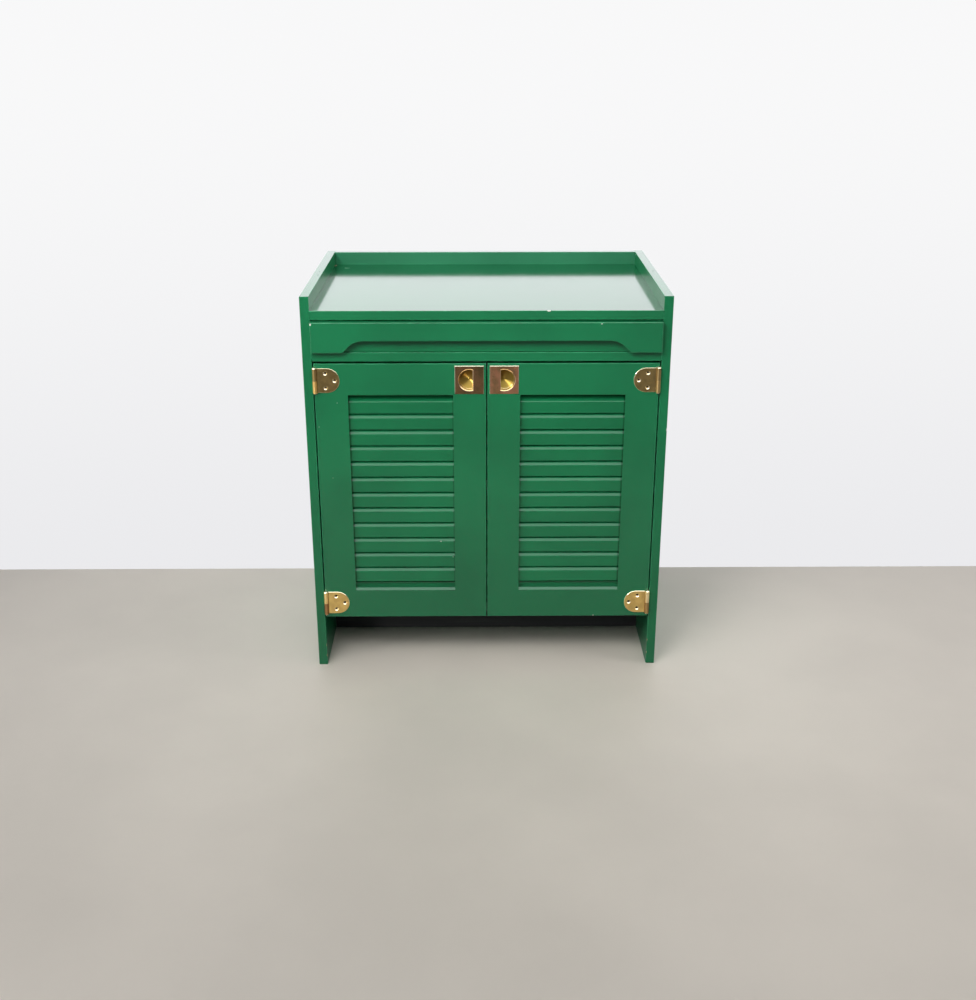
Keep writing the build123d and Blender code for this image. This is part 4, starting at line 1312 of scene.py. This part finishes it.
@dataclass
class Studio:
    """The floor, the wall, the light and the camera."""

    camera_place: Point = (-0.0179, -2.6894, 1.3544)
    camera_pitch: float = math.radians(21.46)
    camera_yaw: float = math.radians(0.48)
    focal_px: float = 1233.4
    frame_width_px: float = 976.0
    sensor: float = 36.0
    floor_reach: float = 2.1
    floor_facets: int = 96
    floor_rim: Span = (0.85, 0.99)
    floor_colour: Colour = (0.7, 0.66, 0.61)
    floor_seen: Colour = (0.74, 0.68, 0.6)
    floor_roughness: float = 0.6
    floor_clouds: Span = (0.3, 0.7)
    floor_cloud_scale: float = 2.2
    floor_cloud_share: float = 0.09
    mirrored_reach: Span = (1.1, 2.0)
    mirrored_shares: Span = (0.75, 0.34)
    wall_place: float = 0.268
    wall_height: float = 2.4
    wall_pale: Colour = (0.94, 0.94, 0.945)
    wall_foot: Colour = (0.82, 0.82, 0.84)
    wall_fade: Span = (-0.2, 1.3)
    bounce: float = 0.42
    ambient: float = 0.13
    room_gloss: float = 0.25
    side_gloss: float = 0.8
    wall_gloss: float = 1.1
    ceiling_gloss: float = 3.0
    wall_turn: Span = (-0.15, 0.2)
    ceiling_turn: Span = (0.25, 0.6)
    left_turn: Span = (-0.9, -0.5)
    tint: Colour = (0.975, 0.99, 1.05)
    lamps: tuple[SoftBox, ...] = (
        SoftBox(
            "key", (-0.85, -1.65, 2.1), (0.0, 0.0, 1.05), (1.2, 0.9), 8.6, math.radians(80.0), soft=True
        ),
        SoftBox("window", (-2.3, -1.5, 1.5), (0.0, -0.2, 0.6), (0.5, 1.3), 11.0, soft=True),
        SoftBox("wash", (2.3, -0.9, 1.6), (0.0, -0.1, 0.6), (0.6, 1.3), 11.0, soft=True),
        SoftBox("front", (0.0, -2.6, 2.3), (0.0, 0.0, 0.5), (3.0, 1.0), 31.5, soft=True),
        SoftBox("overhead", (0.2, -0.3, 2.6), (0.0, 0.0, 0.5), (2.6, 1.8), 2.5, soft=True),
        SoftBox("behind", (0.0, 1.5, 1.35), (0.0, 0.0, 0.85), (3.8, 1.5), 16.0, glint=True),
        SoftBox("pane", (-1.7, -2.6, 1.5), (0.0, -0.2, 0.6), (0.4, 0.7), 110.0, glint=True),
    )

    def build(self) -> None:
        """Builds the whole studio."""
        self.add_camera()
        self.add_world()
        self.add_floor()
        self.add_wall()
        for lamp in self.lamps:
            lamp.hang()
        bpy.context.scene.view_settings.view_transform = "Standard"

    def add_camera(self) -> None:
        """Sets the camera at eye height in front of the cabinet."""
        data = bpy.data.cameras.new("camera")
        data.sensor_fit = "HORIZONTAL"
        data.sensor_width = self.sensor
        data.lens = self.focal_px / self.frame_width_px * self.sensor
        camera = bpy.data.objects.new("camera", data)
        bpy.context.scene.collection.objects.link(camera)
        camera.location = self.camera_place
        camera.rotation_euler = (math.pi / 2 - self.camera_pitch, 0.0, -self.camera_yaw)
        bpy.context.scene.camera = camera

    def add_world(self) -> None:
        """Makes a pale room, whose gloss is bright above, behind and to the left, and dim in front."""
        world = bpy.data.worlds.new("room")
        bpy.context.scene.world = world
        recipe = Recipe(world)
        way = recipe.add("ShaderNodeTexCoord").outputs["Generated"]
        parts = recipe.add("ShaderNodeSeparateXYZ", {0: way}).outputs
        wall = recipe.span(parts[1], *self.wall_turn, self.room_gloss, self.wall_gloss)
        ceiling = recipe.span(parts[2], *self.ceiling_turn, self.room_gloss, self.ceiling_gloss)
        left = recipe.span(parts[0], *self.left_turn, self.side_gloss, self.room_gloss)
        gloss = recipe.sum("MAXIMUM", recipe.sum("MAXIMUM", wall, ceiling), left)
        path = recipe.add("ShaderNodeLightPath").outputs
        mirrored = recipe.sum("MAXIMUM", path["Is Glossy Ray"], path["Is Transmission Ray"])
        change = recipe.sum("MULTIPLY", mirrored, recipe.sum("SUBTRACT", gloss, self.ambient))
        light = recipe.sum("ADD", change, self.ambient)
        seen = path["Is Camera Ray"]
        strength = recipe.sum("MAXIMUM", light, seen)
        colour = recipe.blend(seen, self.tint, self.wall_pale)
        background = recipe.add("ShaderNodeBackground", {0: colour, 1: strength})
        recipe.add("ShaderNodeOutputWorld", {0: background.outputs[0]})

    def add_floor(self) -> None:
        """Lays a pale screed floor that fades into the room at its rim; reflections see it darker further
        out, as painted shade.
        """
        deselect()
        bpy.ops.mesh.primitive_circle_add(
            vertices=self.floor_facets, radius=self.floor_reach, fill_type="NGON"
        )
        floor = bpy.context.object
        floor.name = "floor"
        recipe = Recipe(bpy.data.materials.new("floor_screed"))
        floor.data.materials.append(recipe.owner)
        reach = recipe.length(recipe.place)
        rim = recipe.span(reach, *scaled(self.floor_reach, self.floor_rim))
        path = recipe.add("ShaderNodeLightPath").outputs
        # Painted shade: in reflections the floor darkens with distance from the middle, for the dimmer room
        # in front.
        reflected_shade = recipe.span(reach, *self.mirrored_reach, *self.mirrored_shares)
        mirrored = recipe.sum("MULTIPLY", path["Is Glossy Ray"], recipe.sum("SUBTRACT", 1.0, reflected_shade))
        bounced = recipe.sum("MULTIPLY", path["Is Diffuse Ray"], 1.0 - self.bounce)
        lit = recipe.blend(recipe.sum("ADD", mirrored, bounced), self.floor_colour, BLACK)
        noise = recipe.noise(self.floor_cloud_scale, Detail.BUSY)
        clouds = recipe.span(noise, *self.floor_clouds, self.floor_cloud_share, 0.0)
        seen = recipe.blend(clouds, self.floor_seen, BLACK)
        colour = recipe.blend(path["Is Camera Ray"], lit, seen)
        finish = {"Base Color": colour, "Roughness": self.floor_roughness}
        shader = recipe.add("ShaderNodeBsdfPrincipled", finish)
        glow = recipe.add("ShaderNodeEmission", {0: (*self.wall_pale, 1.0), 1: 1.0})
        mix = recipe.sum("MULTIPLY", rim, path["Is Camera Ray"])
        blend = recipe.add("ShaderNodeMixShader", {0: mix, 1: shader.outputs[0], 2: glow.outputs[0]})
        recipe.add("ShaderNodeOutputMaterial", {0: blend.outputs[0]})

    def add_wall(self) -> None:
        """Stands a pale wall behind the cabinet, which shows from the front and lets all else through; its
        glow darkens towards the foot as painted shade.
        """
        deselect()
        middle = (0.0, self.wall_place, self.wall_height / 2)
        bpy.ops.mesh.primitive_plane_add(size=1.0, location=middle, rotation=(math.pi / 2, 0.0, 0.0))
        wall = bpy.context.object
        size = (self.floor_reach * 2, 1.0, self.wall_height)
        bpy.ops.transform.resize(value=size, center_override=middle)
        bpy.ops.object.transform_apply(location=True, rotation=True, scale=True)
        wall.name = "wall"
        recipe = Recipe(bpy.data.materials.new("wall_plaster"))
        wall.data.materials.append(recipe.owner)
        path = recipe.add("ShaderNodeLightPath").outputs
        behind = recipe.add("ShaderNodeNewGeometry").outputs["Backfacing"]
        seen = recipe.sum("MULTIPLY", path["Is Camera Ray"], recipe.sum("SUBTRACT", 1.0, behind))
        # Painted shade: the wall's glow is darker towards its foot.
        colour = recipe.blend(recipe.span(recipe.axes[2], *self.wall_fade), self.wall_foot, self.wall_pale)
        glow = recipe.add("ShaderNodeEmission", {0: colour, 1: 1.0})
        clear = recipe.add("ShaderNodeBsdfTransparent")
        blend = recipe.add("ShaderNodeMixShader", {0: seen, 1: clear.outputs[0], 2: glow.outputs[0]})
        recipe.add("ShaderNodeOutputMaterial", {0: blend.outputs[0]})


def main() -> None:
    """Builds the studio and dresses the cabinet, one sub-assembly at a time."""
    deselect()
    Studio().build()
    carcass = Carcass()
    carcass.dress()
    carcass.add_catch_poles()
    Drawer().dress()
    dress("frame_hinge_screws", Brass("brass_frame_screws", (0.66, 0.46, 0.2)).material())
    for side in Side:
        door = LouvredDoor(side)
        door.dress()
        pull = FlushPull(side)
        pull.dress()
        pull.add_dish()
        pull.add_collar()
        hinges = [ButtHinge(side, level) for level in Level]
        door.add_screws(hinges)
        for hinge in hinges:
            hinge.dress()
            hinge.add_pin_ends()


if __name__ == "__main__":
    main()
